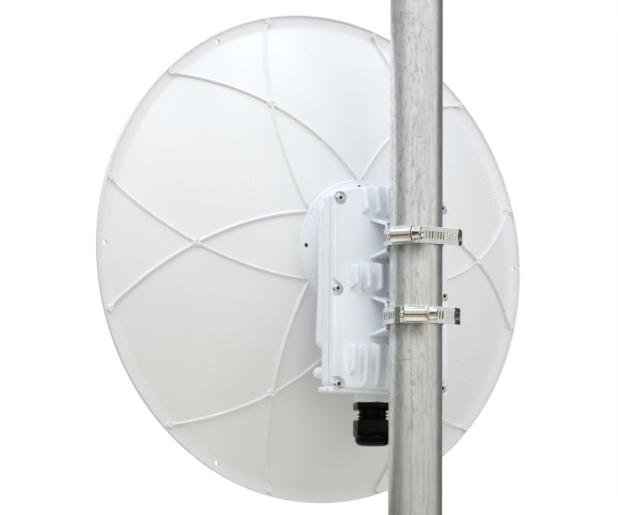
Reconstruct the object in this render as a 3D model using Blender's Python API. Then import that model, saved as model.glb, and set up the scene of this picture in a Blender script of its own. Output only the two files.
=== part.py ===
"""Microwave dish antenna on a pole: ribbed reflector, front feed, die-cast radio and two hose clamps.

Metres, +Z up. The pole stands on the origin. The dish looks along -Y, and its axis crosses the pole's axis at
AXIS_HEIGHT. Depths are given behind the plane of the reflector's rim, and heights above the dish's axis.
"""
import math

import bmesh
import bpy
from mathutils import Vector

# Pole
POLE_LENGTH = 0.600
POLE_RADIUS = 0.020
POLE_WALL = 0.003
FOOT_THICKNESS = 0.006
CAP_THICKNESS = 0.003
CAP_CHAMFER = 0.0012
CAP_PLUG = 0.014

# Where the dish sits on the pole
AXIS_HEIGHT = 0.320
RIM_TO_POLE = 0.1373

# Reflector
RIM_RADIUS = 0.200
APERTURE_RADIUS = 0.1902
BOWL_DEPTH = 0.0619
FOUR_FOCAL_LENGTHS = 0.584
SHELL = 0.0025
FLANGE_BACK = 0.0
FLANGE_FRONT = -0.0022
LIP_BACK = 0.0013
LIP_FRONT = -0.0028
LIP_WIDTH = 0.0013
HUB_RADIUS = 0.0545
HUB_FACE = 0.0581
HUB_FRONT = 0.0553
HUB_FRONT_RADIUS = 0.048
HUB_BEAD_WIDTH = 0.0018
HUB_BEAD_HEIGHT = 0.0006
REFLECTOR_SEGMENTS = 84
PROFILE_STEPS = 8
PATTERN_TURN = math.radians(-1.0)

# Ribs, bosses and holes on the reflector
RIB_PAIRS = 6
RIB_SPREAD = math.radians(15)
RIB_WIDTH = 0.0022
RIB_HEIGHT = 0.0024
RIB_HEIGHT_STEP = 0.00005
RIB_SINK = 0.0010
RIB_BURIED = 0.0045
RIM_BOSS_RING = 0.196
RIM_BOSS_RADIUS = 0.0024
RIM_BOSS_PROUD = 0.0004
CROSSING_RING = 0.1317
CROSSING_BOSS_RADIUS = 0.0033
CROSSING_BOSS_ROOT = 0.0018
CROSSING_BOSS_PROUD = 0.0003
RIM_HOLE_RING = 0.1937
RIM_HOLE_RADIUS = 0.0019
HUB_HOLE_RING = 0.0492
HUB_HOLE_RADIUS = 0.0017

# Feed in front of the reflector
FEED_RADIUS = 0.017
FEED_BORE = 0.014
FEED_CLEARANCE = 0.0003
FEED_END = -0.066
FEED_CAP_RADIUS = 0.036
FEED_CAP_FRONT = -0.086
COLLAR_RADIUS = 0.034
COLLAR_THICKNESS = 0.005
COLLAR_CHAMFER = 0.001
CONE_FLARE = -0.078
CONE_FRONT = -0.080
CONE_RADIUS = 0.033
CAP_EDGE = 0.002
FEED_SCREW_RING = 0.0265
FEED_SCREW_RADIUS = 0.0030
FEED_SCREW_TOP_RADIUS = 0.0022
FEED_SCREW_SHOULDER = 0.0014
FEED_SCREW_HEIGHT = 0.0022

# Radio housing: half width, and heights about the dish's axis
HALF_WIDTH = 0.052
ARCH_TOP = 0.0433
ARCH_RADIUS = 0.150
COVER_BOTTOM = -0.1133
BASE_BOTTOM = -0.1165
CORNER = 0.006

# Radio housing: depths behind the rim plane
ADAPTOR_FRONT = 0.081
ADAPTOR_TOE = 0.0776
ADAPTOR_BACK = 0.0864
ADAPTOR_BOTTOM = -0.084
ADAPTOR_TOP = 0.030
ADAPTOR_CORNER = 0.008
TOE_TOP = -0.038
BASE_FRONT = 0.0867
BASE_BACK = 0.0966
GASKET_FRONT = 0.0969
GASKET_BACK = 0.0981
GASKET_INSET = 0.0008
COVER_FRONT = 0.0984
COVER_FACE = 0.105
COVER_EDGE_WIDTH = 0.0012
COVER_EDGE_DEPTH = 0.0014
ROOT_SINK = 0.001
NECK_FRONT_RADIUS = 0.037
NECK_BACK_RADIUS = 0.045
NECK_FLARE_END = 0.0795
NECK_BACK = 0.0835
NECK_SOCKET_DEPTH = 0.076
LIP_OUT = 0.0016
LIP_OVERLAP = 0.0010
LIP_ROUND = 0.0015
BASE_LIP_PROUD = 0.0015

# Cooling fins on the cover
FIN_PITCH = 0.0105
FIN_WIDTH = 0.0030
FIN_CROWN = 0.1145
FIN_CROWN_HEIGHT = -0.035
FIN_CROWN_RADIUS = 0.560
FIN_TOP_CHAMFER = 0.0025
FIN_FOOT_CHAMFER = 0.0032
# Top and foot of each fin, counted outward from the middle of the cover
FIN_GROUPS = (
    ("top", ((0.0425, 0.0185), (0.0418, 0.0190), (0.0403, 0.0197))),
    ("middle", ((-0.0164, -0.0405), (-0.0164, -0.0405), (-0.0170, -0.0400), (-0.0191, -0.0383))),
    ("bottom", ((-0.0782, -0.1128), (-0.0782, -0.1128), (-0.0789, -0.1128), (-0.0794, -0.1032))),
)

# Saddles that cradle the pole
SADDLE_ROOT_WIDTH = 0.0204
SADDLE_TIP_WIDTH = 0.0196
SADDLE_PLATES = ((0.0175, 0.0112), (-0.0150, -0.0109))
SADDLE_PLATE = 0.0025
SADDLE_TIP = 0.1265
SADDLE_BAR_DEPTH = 0.0018
SADDLE_BAR_INNER = 0.0165

# Screws that hold the cover
COVER_SCREWS = (("top", 0.0468, 0.0303), ("middle", 0.0486, -0.0389), ("bottom", 0.0470, -0.1108))
SCREW_HEAD_RADIUS = 0.0037
SCREW_HEAD_HEIGHT = 0.0026
SCREW_SOCKET_RADIUS = 0.0016
POCKET_RADIUS = 0.0052
POCKET_DEPTH = 0.0028
MIDDLE_POCKET = ((0.056, -0.0275), (0.0455, -0.0360), (0.0436, -0.0385), (0.0438, -0.0412), (0.0456, -0.0436),
                 (0.056, -0.0478))
BOTTOM_POCKET = ((0.056, -0.1046), (0.0462, -0.1052), (0.0432, -0.1066), (0.0414, -0.1090), (0.0392, -0.1175),
                 (0.056, -0.1175))

# Vent plug on the housing's face toward the dish
VENT_RADIUS = 0.0046
VENT_NECK_RADIUS = 0.0038
VENT_NECK_LENGTH = 0.0012
VENT_LENGTH = 0.0140
VENT_X = 0.0470
VENT_HEIGHT = -0.1010

# Cable gland under the housing
GLAND_DEPTH = 0.0779
GLAND_BOSS_RADIUS = 0.0145
GLAND_BOSS_TOP = -0.088
GLAND_BOSS_BOTTOM = -0.1223
GLAND_FLANGE_BOTTOM = -0.1284
GLAND_NUT_TOP = -0.1359
GLAND_NUT_SHOULDER = -0.1468
GLAND_NUT_BOTTOM = -0.1556
GLAND_HEX_ACROSS_FLATS = 0.0272
GLAND_THREAD_RADIUS = 0.0111
GLAND_BORE = 0.0060
GLAND_MOUTH = 0.0085
GLAND_NECK_IN_NUT = 0.012
GLAND_NUT_FLOOR = 0.003
GLAND_DOME_ROUND = 0.0055
GLAND_TURN = math.radians(12)
GLAND_SEAL_BORE = 0.0050

# Hose clamps: name, height, angle of the screw housing round the pole from +Y toward +X, tail length
CLAMPS = (("upper", 0.0, math.radians(57.5), 0.0281), ("lower", -0.0593, math.radians(35.5), 0.0263))
BAND_THICKNESS = 0.0008
BAND_WIDTH = 0.0125
TAIL_ANGLE = math.radians(5.0)
BAND_DROP = 0.0007
WORM_LENGTH = 0.0165
WORM_RADIUS = 0.0024
WORM_CENTRE = 0.0256
WORM_SHELL_TOP = 0.0296
WORM_SHELL_HALF = 0.0061
WORM_HOUSING_HALF = 0.0072
WORM_SKIRT_FOOT = 0.0208
WORM_HEAD_ACROSS_FLATS = 0.0082
WORM_HEAD_LENGTH = 0.0060
WORM_COLLAR_RADIUS = 0.0049
WORM_COLLAR_LENGTH = 0.0014
WORM_TIP_LENGTH = 0.0028
WORM_HEAD_TURN = math.radians(22)

GAP = 0.0003


def behind_rim(depth):
    return depth - RIM_TO_POLE


def above_axis(height):
    return height + AXIS_HEIGHT


def clear_scene():
    for thing in list(bpy.data.objects):
        bpy.data.objects.remove(thing, do_unlink=True)


def material(name, colour, roughness, metallic):
    made = bpy.data.materials.new(name)
    made.use_nodes = True
    shader = made.node_tree.nodes["Principled BSDF"]
    shader.inputs["Base Color"].default_value = (*colour, 1.0)
    shader.inputs["Roughness"].default_value = roughness
    shader.inputs["Metallic"].default_value = metallic
    return made


def add_object(name, mesh, finish):
    thing = bpy.data.objects.new(name, mesh)
    thing.data.materials.append(finish)
    bpy.context.scene.collection.objects.link(thing)
    return thing


def object_from(name, points, faces, finish):
    mesh = bpy.data.meshes.new(name)
    mesh.from_pydata([tuple(point) for point in points], [], faces)
    shape = bmesh.new()
    shape.from_mesh(mesh)
    bmesh.ops.remove_doubles(shape, verts=shape.verts, dist=1e-7)
    loose = [edge for edge in shape.edges if not edge.link_faces]
    bmesh.ops.delete(shape, geom=loose, context="EDGES")
    bmesh.ops.recalc_face_normals(shape, faces=shape.faces)
    shape.to_mesh(mesh)
    shape.free()
    return add_object(name, mesh, finish)


def loft(name, rings, finish, closed=False):
    """A skin over rings of equal length; open ends are capped."""
    count = len(rings[0])
    points = [point for ring in rings for point in ring]
    faces = []
    last = len(rings) if closed else len(rings) - 1
    for step in range(last):
        here = step * count
        there = (step + 1) % len(rings) * count
        for side in range(count):
            other = (side + 1) % count
            faces.append((here + side, here + other, there + other, there + side))
    if not closed:
        faces.append(tuple(range(count)))
        faces.append(tuple(range((len(rings) - 1) * count, len(rings) * count)))
    return object_from(name, points, faces, finish)


def prism(name, outline, low, high, axis, finish):
    """An outline in the plane across an axis, drawn out from low to high along it."""
    place = {"X": lambda a, b, c: (c, a, b), "Y": lambda a, b, c: (a, c, b), "Z": lambda a, b, c: (a, b, c)}[axis]
    rings = [[place(a, b, level) for a, b in outline] for level in (low, high)]
    return loft(name, rings, finish)


def turned(name, profile, segments, centre, axis, finish, start=0.0):
    """A closed profile of (radius, distance along the axis) turned once round the axis."""
    directions = {
        "X": (Vector((0, 1, 0)), Vector((0, 0, 1)), Vector((1, 0, 0))),
        "Y": (Vector((1, 0, 0)), Vector((0, 0, 1)), Vector((0, 1, 0))),
        "Z": (Vector((1, 0, 0)), Vector((0, 1, 0)), Vector((0, 0, 1))),
    }
    across, up, along = directions[axis]
    rings = []
    for step in range(segments):
        turn = start + 2 * math.pi * step / segments
        arm = across * math.cos(turn) + up * math.sin(turn)
        rings.append([Vector(centre) + arm * radius + along * distance for radius, distance in profile])
    return loft(name, rings, finish, closed=True)


def combine(thing, tool, operation):
    """Joins or cuts an object with a tool that isn't part of the model itself."""
    tool.hide_render = True
    tool.display_type = "WIRE"
    change = thing.modifiers.new(f"{operation.lower()} {tool.name}", "BOOLEAN")
    change.operation = operation
    change.solver = "EXACT"
    change.object = tool
    return thing


def combine_all(thing, tools, operation, name):
    """Joins or cuts an object with every tool of a group at once."""
    group = bpy.data.collections.new(name)
    bpy.context.scene.collection.children.link(group)
    for tool in tools:
        bpy.context.scene.collection.objects.unlink(tool)
        group.objects.link(tool)
        tool.hide_render = True
        tool.display_type = "WIRE"
    change = thing.modifiers.new(f"{operation.lower()} {name}", "BOOLEAN")
    change.operation = operation
    change.solver = "EXACT"
    change.operand_type = "COLLECTION"
    change.collection = group
    return thing


def smooth(thing, degrees=30):
    thing.data.shade_smooth()
    thing.data.set_sharp_from_angle(angle=math.radians(degrees))
    return thing


def on_circle(radius, turn, centre=(0.0, 0.0)):
    return centre[0] + radius * math.cos(turn), centre[1] + radius * math.sin(turn)


def hexagon(across_flats, turn=0.0):
    radius = across_flats / math.sqrt(3)
    return [on_circle(radius, turn + math.radians(60 * corner)) for corner in range(6)]


# Reflector

def bowl_back(radius):
    return BOWL_DEPTH - radius ** 2 / FOUR_FOCAL_LENGTHS


def reflector_back(radius):
    """Depth of the reflector's back face, its flange included."""
    return max(bowl_back(radius), FLANGE_BACK)


def reflector_profile():
    bead_face = HUB_FACE + HUB_BEAD_HEIGHT
    bead_inside = HUB_RADIUS - HUB_BEAD_WIDTH
    back = [(FEED_RADIUS + FEED_CLEARANCE, HUB_FACE), (bead_inside, HUB_FACE),
            (bead_inside + HUB_BEAD_HEIGHT / 2, bead_face), (HUB_RADIUS - HUB_BEAD_HEIGHT / 2, bead_face)]
    for step in range(PROFILE_STEPS):
        radius = HUB_RADIUS + 0.0002 + (APERTURE_RADIUS - HUB_RADIUS) * step / (PROFILE_STEPS - 1)
        back.append((radius, bowl_back(radius)))
    inner_lip = RIM_RADIUS - LIP_WIDTH
    back += [(inner_lip, FLANGE_BACK), (inner_lip + 0.0002, LIP_BACK), (RIM_RADIUS, LIP_BACK)]
    front = [(RIM_RADIUS, LIP_FRONT), (inner_lip, LIP_FRONT), (inner_lip - 0.0004, FLANGE_FRONT)]
    front_edge = APERTURE_RADIUS - 0.0006
    for step in range(PROFILE_STEPS):
        radius = front_edge - (front_edge - HUB_FRONT_RADIUS) * step / (PROFILE_STEPS - 1)
        slope = 2 * radius / FOUR_FOCAL_LENGTHS
        front.append((radius, bowl_back(radius) - SHELL * math.sqrt(1 + slope ** 2)))
    front.append((FEED_RADIUS + FEED_CLEARANCE, HUB_FRONT))
    return back + front


def circle_through(first, second, third):
    ax, ay = first
    bx, by = second
    cx, cy = third
    d = 2 * (ax * (by - cy) + bx * (cy - ay) + cx * (ay - by))
    ux = ((ax**2 + ay**2) * (by - cy) + (bx**2 + by**2) * (cy - ay) + (cx**2 + cy**2) * (ay - by)) / d
    uy = ((ax**2 + ay**2) * (cx - bx) + (bx**2 + by**2) * (ax - cx) + (cx**2 + cy**2) * (bx - ax)) / d
    return (ux, uy), math.hypot(ax - ux, ay - uy)


def rib_path(middle, side, steps):
    """Points in plan of one rib: from its rim boss, over the crossing, to the hub."""
    rim = on_circle(RIM_BOSS_RING, middle - side * RIB_SPREAD)
    crossing = on_circle(CROSSING_RING, middle)
    hub = on_circle(HUB_RADIUS, middle + side * 2 * RIB_SPREAD)
    centre, radius = circle_through(rim, crossing, hub)
    start = math.atan2(rim[1] - centre[1], rim[0] - centre[0])
    end = math.atan2(hub[1] - centre[1], hub[0] - centre[0])
    sweep = (end - start + math.pi) % (2 * math.pi) - math.pi
    buried = RIB_BURIED / radius * math.copysign(1, sweep)
    turns = [start + sweep * step / steps for step in range(steps)] + [end - buried / 4, end + buried]
    return [on_circle(radius, turn, centre) for turn in turns]


def rib(name, middle, side, finish):
    path = rib_path(middle, side, 7)
    rings = []
    for number, (x, z) in enumerate(path):
        before = path[max(number - 1, 0)]
        after = path[min(number + 1, len(path) - 1)]
        length = math.hypot(after[0] - before[0], after[1] - before[1])
        across = (-(after[1] - before[1]) / length, (after[0] - before[0]) / length)
        depth = reflector_back(math.hypot(x, z))
        height = RIB_HEIGHT + side * RIB_HEIGHT_STEP
        top = height if number < len(path) - 1 else HUB_FACE - RIB_SINK - depth
        ring = []
        for shift, rise in ((-0.5, -RIB_SINK), (0.5, -RIB_SINK), (0.36, top), (-0.36, top)):
            sideways = shift * RIB_WIDTH
            point = (x + across[0] * sideways, behind_rim(depth + rise), above_axis(z + across[1] * sideways))
            ring.append(point)
        rings.append(ring)
    return loft(name, rings, finish)


def round_tool(name, place, radius, low, high, segments, finish):
    """A short cylinder along the dish's axis, to join to a part or to cut it. Its place is (X, height)."""
    centre = (place[0], above_axis(place[1]))
    circle = [on_circle(radius, 2 * math.pi * side / segments, centre) for side in range(segments)]
    return prism(name, circle, behind_rim(low), behind_rim(high), "Y", finish)


def make_reflector(finish):
    centre = (0.0, behind_rim(0.0), AXIS_HEIGHT)
    shell = turned("reflector", reflector_profile(), REFLECTOR_SEGMENTS, centre, "Y", finish)
    bosses = []
    ribs = {-1: [], 1: []}
    holes = []
    for pair in range(RIB_PAIRS):
        middle = PATTERN_TURN + math.radians(60 * pair)
        crossing_depth = reflector_back(CROSSING_RING)
        boss_top = crossing_depth + RIB_HEIGHT + CROSSING_BOSS_PROUD
        bosses.append(round_tool(f"crossing boss {pair}", on_circle(CROSSING_RING, middle), CROSSING_BOSS_RADIUS,
                                 crossing_depth - CROSSING_BOSS_ROOT, boss_top, 16, finish))
        holes.append(round_tool(f"rim hole {pair}", on_circle(RIM_HOLE_RING, middle), RIM_HOLE_RADIUS, -0.01, 0.01, 10,
                                finish))
        for side in ribs:
            ribs[side].append(rib(f"rib {pair} {side}", middle, side, finish))
            place = on_circle(RIM_BOSS_RING, middle + side * RIB_SPREAD)
            bosses.append(round_tool(f"rim boss {pair} {side}", place, RIM_BOSS_RADIUS, -0.0005,
                                     FLANGE_BACK + RIB_HEIGHT + RIM_BOSS_PROUD, 10, finish))
    for quarter in range(4):
        place = on_circle(HUB_HOLE_RING, PATTERN_TURN + math.radians(90 * quarter))
        holes.append(round_tool(f"hub hole {quarter}", place, HUB_HOLE_RADIUS, 0.05, 0.065, 10, finish))
    combine_all(shell, ribs[-1], "UNION", "left-hand ribs")
    combine_all(shell, ribs[1], "UNION", "right-hand ribs")
    combine_all(shell, bosses, "UNION", "bosses")
    combine_all(shell, holes, "DIFFERENCE", "reflector holes")
    return smooth(shell)


# Feed

def make_feed(plastic, metal):
    centre = (0.0, behind_rim(0.0), AXIS_HEIGHT)
    tube = [(FEED_BORE, FEED_END), (FEED_RADIUS, FEED_END), (FEED_RADIUS, NECK_SOCKET_DEPTH - GAP),
            (FEED_BORE, NECK_SOCKET_DEPTH - GAP)]
    smooth(turned("feed_tube", tube, 40, centre, "Y", plastic))
    collar_back = HUB_FRONT - GAP
    collar_front = collar_back - COLLAR_THICKNESS
    collar = [(FEED_RADIUS + GAP, collar_front), (COLLAR_RADIUS - COLLAR_CHAMFER, collar_front),
              (COLLAR_RADIUS, collar_front + COLLAR_CHAMFER), (COLLAR_RADIUS, collar_back),
              (FEED_RADIUS + GAP, collar_back)]
    smooth(turned("feed_collar", collar, 40, centre, "Y", plastic))
    cone_back = FEED_END - GAP
    cone = [(0.0, cone_back), (FEED_RADIUS, cone_back), (CONE_RADIUS, CONE_FLARE), (CONE_RADIUS, CONE_FRONT),
            (0.0, CONE_FRONT)]
    smooth(turned("feed_cone", cone, 40, centre, "Y", plastic))
    cap_back = CONE_FRONT - GAP
    cap = [(0.0, cap_back), (FEED_CAP_RADIUS, cap_back), (FEED_CAP_RADIUS, cap_back - CAP_EDGE),
           (CONE_RADIUS, FEED_CAP_FRONT), (0.0, FEED_CAP_FRONT)]
    smooth(turned("feed_cap", cap, 40, centre, "Y", metal))
    for number in range(4):
        x, z = on_circle(FEED_SCREW_RING, math.radians(45 + 90 * number))
        seat = collar_front - GAP
        head = [(0.0, seat), (FEED_SCREW_RADIUS, seat), (FEED_SCREW_RADIUS, seat - FEED_SCREW_SHOULDER),
                (FEED_SCREW_TOP_RADIUS, seat - FEED_SCREW_HEIGHT), (0.0, seat - FEED_SCREW_HEIGHT)]
        smooth(turned(f"feed_screw_{number + 1}", head, 16, (x, behind_rim(0.0), above_axis(z)), "Y", metal))


# Radio housing

def corner_arc(centre, radius, start, end, steps=4):
    return [on_circle(radius, math.radians(start + (end - start) * step / steps), centre) for step in range(steps + 1)]


def housing_outline(bottom, inset=0.0):
    """The housing seen from behind: straight sides, round corners and an arched top. Heights are the row's own."""
    half = HALF_WIDTH - inset
    low = above_axis(bottom) + inset
    arch = ARCH_RADIUS - inset
    arch_centre = above_axis(ARCH_TOP) - ARCH_RADIUS
    reach = half - CORNER
    corner_height = arch_centre + math.sqrt((arch - CORNER) ** 2 - reach ** 2)
    lean = math.degrees(math.asin(reach / (arch - CORNER)))
    outline = corner_arc((-reach, low + CORNER), CORNER, 180, 270)
    outline += corner_arc((reach, low + CORNER), CORNER, 270, 360)
    outline += corner_arc((reach, corner_height), CORNER, 0, 90 - lean)
    for step in range(1, 12):
        turn = math.radians(90 - lean + 2 * lean * step / 12)
        outline.append(on_circle(arch, turn, (0.0, arch_centre)))
    outline += corner_arc((-reach, corner_height), CORNER, 90 + lean, 180)
    return outline


def make_adaptor(finish):
    """Bracket between hub and radio: a flared round neck on a plate whose lower end is deeper."""
    corner = ADAPTOR_CORNER
    half = HALF_WIDTH
    low = above_axis(ADAPTOR_BOTTOM)
    high = above_axis(ADAPTOR_TOP)
    outline = corner_arc((-half + corner, low + corner), corner, 180, 270)
    outline += corner_arc((half - corner, low + corner), corner, 270, 360)
    outline += corner_arc((half - corner, high - corner), corner, 0, 90)
    outline += corner_arc((-half + corner, high - corner), corner, 90, 180)
    toe_start = above_axis(TOE_TOP)

    def front_depth(z):
        fall = max(0.0, (toe_start - z) / (toe_start - low))
        return behind_rim(ADAPTOR_FRONT + (ADAPTOR_TOE - ADAPTOR_FRONT) * fall)

    split = []
    for (x0, z0), (x1, z1) in zip(outline, outline[1:] + outline[:1]):
        split.append((x0, z0))
        if (z0 - toe_start) * (z1 - toe_start) < 0:
            split.append((x0 + (x1 - x0) * (toe_start - z0) / (z1 - z0), toe_start))
    back_ring = [(x, behind_rim(ADAPTOR_BACK), z) for x, z in split]
    front_ring = [(x, front_depth(z), z) for x, z in split]
    count = len(split)
    crease = [index for index, (x, z) in enumerate(split) if abs(z - toe_start) < 1e-9]
    points = back_ring + front_ring
    faces = [(side, (side + 1) % count, count + (side + 1) % count, count + side) for side in range(count)]
    faces.append(tuple(range(count)))
    first, second = crease
    faces.append(tuple(count + index for index in range(first, second + 1)))
    faces.append(tuple(count + index % count for index in range(second, first + count + 1)))
    plate = object_from("mounting_adaptor", points, faces, finish)
    neck_front = HUB_FACE + GAP
    centre = (0.0, behind_rim(0.0), AXIS_HEIGHT)
    neck = [(0.0, neck_front), (NECK_FRONT_RADIUS, neck_front), (NECK_BACK_RADIUS, NECK_FLARE_END),
            (NECK_BACK_RADIUS, NECK_BACK), (0.0, NECK_BACK)]
    combine(plate, turned("neck", neck, 48, centre, "Y", finish), "UNION")
    socket_radius = FEED_RADIUS + FEED_CLEARANCE
    socket = [(0.0, 0.05), (socket_radius, 0.05), (socket_radius, NECK_SOCKET_DEPTH), (0.0, NECK_SOCKET_DEPTH)]
    combine(plate, turned("socket", socket, 40, centre, "Y", finish, 0.03), "DIFFERENCE")
    return smooth(plate)


def bottom_lip(name, front, back, finish):
    """A bead along the housing's foot, a little wider than the housing, with round corners."""
    half = HALF_WIDTH + LIP_OUT
    low = above_axis(BASE_BOTTOM)
    high = above_axis(COVER_BOTTOM) + LIP_OVERLAP
    round_by = LIP_ROUND
    outline = corner_arc((-half + round_by, low + round_by), round_by, 180, 270, 3)
    outline += corner_arc((half - round_by, low + round_by), round_by, 270, 360, 3)
    outline += corner_arc((half - round_by, high - round_by), round_by, 0, 90, 3)
    outline += corner_arc((-half + round_by, high - round_by), round_by, 90, 180, 3)
    return prism(name, outline, behind_rim(front), behind_rim(back), "Y", finish)


def make_base(finish):
    outline = housing_outline(COVER_BOTTOM)
    base = prism("radio_base", outline, behind_rim(BASE_FRONT), behind_rim(BASE_BACK), "Y", finish)
    low = above_axis(BASE_BOTTOM)
    combine(base, bottom_lip("base lip", BASE_FRONT - BASE_LIP_PROUD, BASE_BACK, finish), "UNION")
    boss = [(0.0, above_axis(GLAND_BOSS_BOTTOM)), (GLAND_BOSS_RADIUS, above_axis(GLAND_BOSS_BOTTOM)),
            (GLAND_BOSS_RADIUS, above_axis(GLAND_BOSS_TOP)), (0.0, above_axis(GLAND_BOSS_TOP))]
    combine(base, turned("gland boss", boss, 32, (0.0, behind_rim(GLAND_DEPTH), 0.0), "Z", finish), "UNION")
    half = GLAND_BOSS_RADIUS - 0.0005
    top = above_axis(GLAND_BOSS_TOP) - 0.0005
    web = [(-half, low + 0.0002), (half, low + 0.0002), (half, top), (-half, top)]
    web_back = behind_rim(BASE_FRONT + 0.002)
    combine(base, prism("boss web", web, behind_rim(GLAND_DEPTH), web_back, "Y", finish), "UNION")
    return smooth(base)


def make_gasket(finish):
    outline = housing_outline(BASE_BOTTOM, GASKET_INSET)
    return prism("cover_gasket", outline, behind_rim(GASKET_FRONT), behind_rim(GASKET_BACK), "Y", finish)


def fin_crest(height):
    return FIN_CROWN - (height - FIN_CROWN_HEIGHT) ** 2 / (2 * FIN_CROWN_RADIUS)


def fin_profile(top, bottom):
    """Side view of a fin as (depth, height): both ends are chamfered, the crest follows the crown."""
    root = COVER_FACE - ROOT_SINK
    crest_top = top - FIN_TOP_CHAMFER
    crest_bottom = bottom + FIN_FOOT_CHAMFER
    middle = (crest_top + crest_bottom) / 2
    points = [(root, top), (COVER_FACE, top)]
    points += [(fin_crest(height), height) for height in (crest_top, middle, crest_bottom)]
    points += [(COVER_FACE, bottom), (root, bottom)]
    return [(behind_rim(depth), above_axis(height)) for depth, height in points]


def saddle_plate(name, centre, root, tip, finish):
    """One sloping plate of a saddle, above or below the clamp's band, a little narrower at its tip."""
    inward = math.copysign(SADDLE_PLATE, root)
    sunk = COVER_FACE - ROOT_SINK
    rings = []
    for depth, height, half in ((sunk, root, SADDLE_ROOT_WIDTH), (SADDLE_TIP, tip, SADDLE_TIP_WIDTH)):
        near = above_axis(centre + height)
        far = above_axis(centre + height - inward)
        rings.append([(-half, behind_rim(depth), near), (half, behind_rim(depth), near),
                      (half, behind_rim(depth), far), (-half, behind_rim(depth), far)])
    return loft(name, rings, finish)


def make_cover(finish):
    outline = housing_outline(COVER_BOTTOM)
    rear_outline = housing_outline(COVER_BOTTOM, COVER_EDGE_WIDTH)
    rings = [
        [(x, behind_rim(COVER_FRONT), z) for x, z in outline],
        [(x, behind_rim(COVER_FACE - COVER_EDGE_DEPTH), z) for x, z in outline],
        [(x, behind_rim(COVER_FACE), z) for x, z in rear_outline],
    ]
    cover = loft("radio_cover", rings, finish)
    raised = [bottom_lip("cover lip", COVER_FRONT, COVER_FACE - POCKET_DEPTH, finish)]
    for group, columns in FIN_GROUPS:
        for column, (top, bottom) in enumerate(columns):
            for side in (-1, 1):
                x = side * FIN_PITCH * (column + 0.5)
                raised.append(prism(f"{group} fin {column} {side}", fin_profile(top, bottom), x - FIN_WIDTH / 2,
                                    x + FIN_WIDTH / 2, "X", finish))
    for clamp, height, _, _ in CLAMPS:
        for root, tip in SADDLE_PLATES:
            raised.append(saddle_plate(f"{clamp} saddle plate {root}", height, root, tip, finish))
        tips = [above_axis(height + tip) for _, tip in SADDLE_PLATES]
        for side in (-1, 1):
            bar_front = behind_rim(SADDLE_TIP - SADDLE_BAR_DEPTH)
            bar_back = behind_rim(SADDLE_TIP)
            bar = [(side * SADDLE_BAR_INNER, bar_front), (side * SADDLE_TIP_WIDTH, bar_front),
                   (side * SADDLE_TIP_WIDTH, bar_back), (side * SADDLE_BAR_INNER, bar_back)]
            raised.append(prism(f"{clamp} saddle bar {side}", bar, tips[1] + 0.0005, tips[0] - 0.0005, "Z", finish))
    combine_all(cover, raised, "UNION", "fins and saddles")
    cutters = [pole_clearance(finish)]
    floor = COVER_FACE - POCKET_DEPTH
    _, top_x, top_height = COVER_SCREWS[0]
    above = COVER_FACE + 0.003
    for side in (-1, 1):
        cutters.append(round_tool(f"top pocket {side}", (side * top_x, top_height), POCKET_RADIUS, floor, above, 20,
                                  finish))
        for place, corners in (("middle", MIDDLE_POCKET), ("bottom", BOTTOM_POCKET)):
            outline = [(side * x, above_axis(height)) for x, height in corners]
            cutters.append(prism(f"{place} pocket {side}", outline, behind_rim(floor), behind_rim(above), "Y", finish))
    combine_all(cover, cutters, "DIFFERENCE", "pockets and pole seat")
    return smooth(cover)


def pole_clearance(finish):
    radius = POLE_RADIUS + GAP
    circle = [on_circle(radius, 2 * math.pi * side / 48) for side in range(48)]
    return prism("pole seat", circle, above_axis(-0.09), above_axis(0.03), "Z", finish)


def make_cover_screws(finish):
    floor = COVER_FACE - POCKET_DEPTH + GAP
    top = floor + SCREW_HEAD_HEIGHT
    head = [(0.0, floor), (SCREW_HEAD_RADIUS, floor), (SCREW_HEAD_RADIUS, floor + 0.0012),
            (SCREW_HEAD_RADIUS - 0.0005, floor + 0.0021), (SCREW_HEAD_RADIUS - 0.0014, top),
            (SCREW_SOCKET_RADIUS, top), (SCREW_SOCKET_RADIUS, top - 0.0012), (0.0, top - 0.0014)]
    for place, x, height in COVER_SCREWS:
        for side, word in ((1, "left"), (-1, "right")):
            centre = (side * x, behind_rim(0.0), above_axis(height))
            smooth(turned(f"cover_screw_{place}_{word}", head, 20, centre, "Y", finish))


def make_vent_plug(finish):
    """A round plug that stands toward the dish on a narrower neck."""
    seat = BASE_FRONT - GAP
    shoulder = seat - VENT_NECK_LENGTH
    tip = seat - VENT_LENGTH
    profile = [(0.0, seat), (VENT_NECK_RADIUS, seat), (VENT_NECK_RADIUS, shoulder), (VENT_RADIUS, shoulder),
               (VENT_RADIUS, tip + 0.0025), (VENT_RADIUS - 0.0008, tip + 0.0008), (VENT_RADIUS - 0.0025, tip),
               (0.0, tip)]
    centre = (VENT_X, behind_rim(0.0), above_axis(VENT_HEIGHT))
    return smooth(turned("vent_plug", profile, 24, centre, "Y", finish))


# Cable gland

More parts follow.
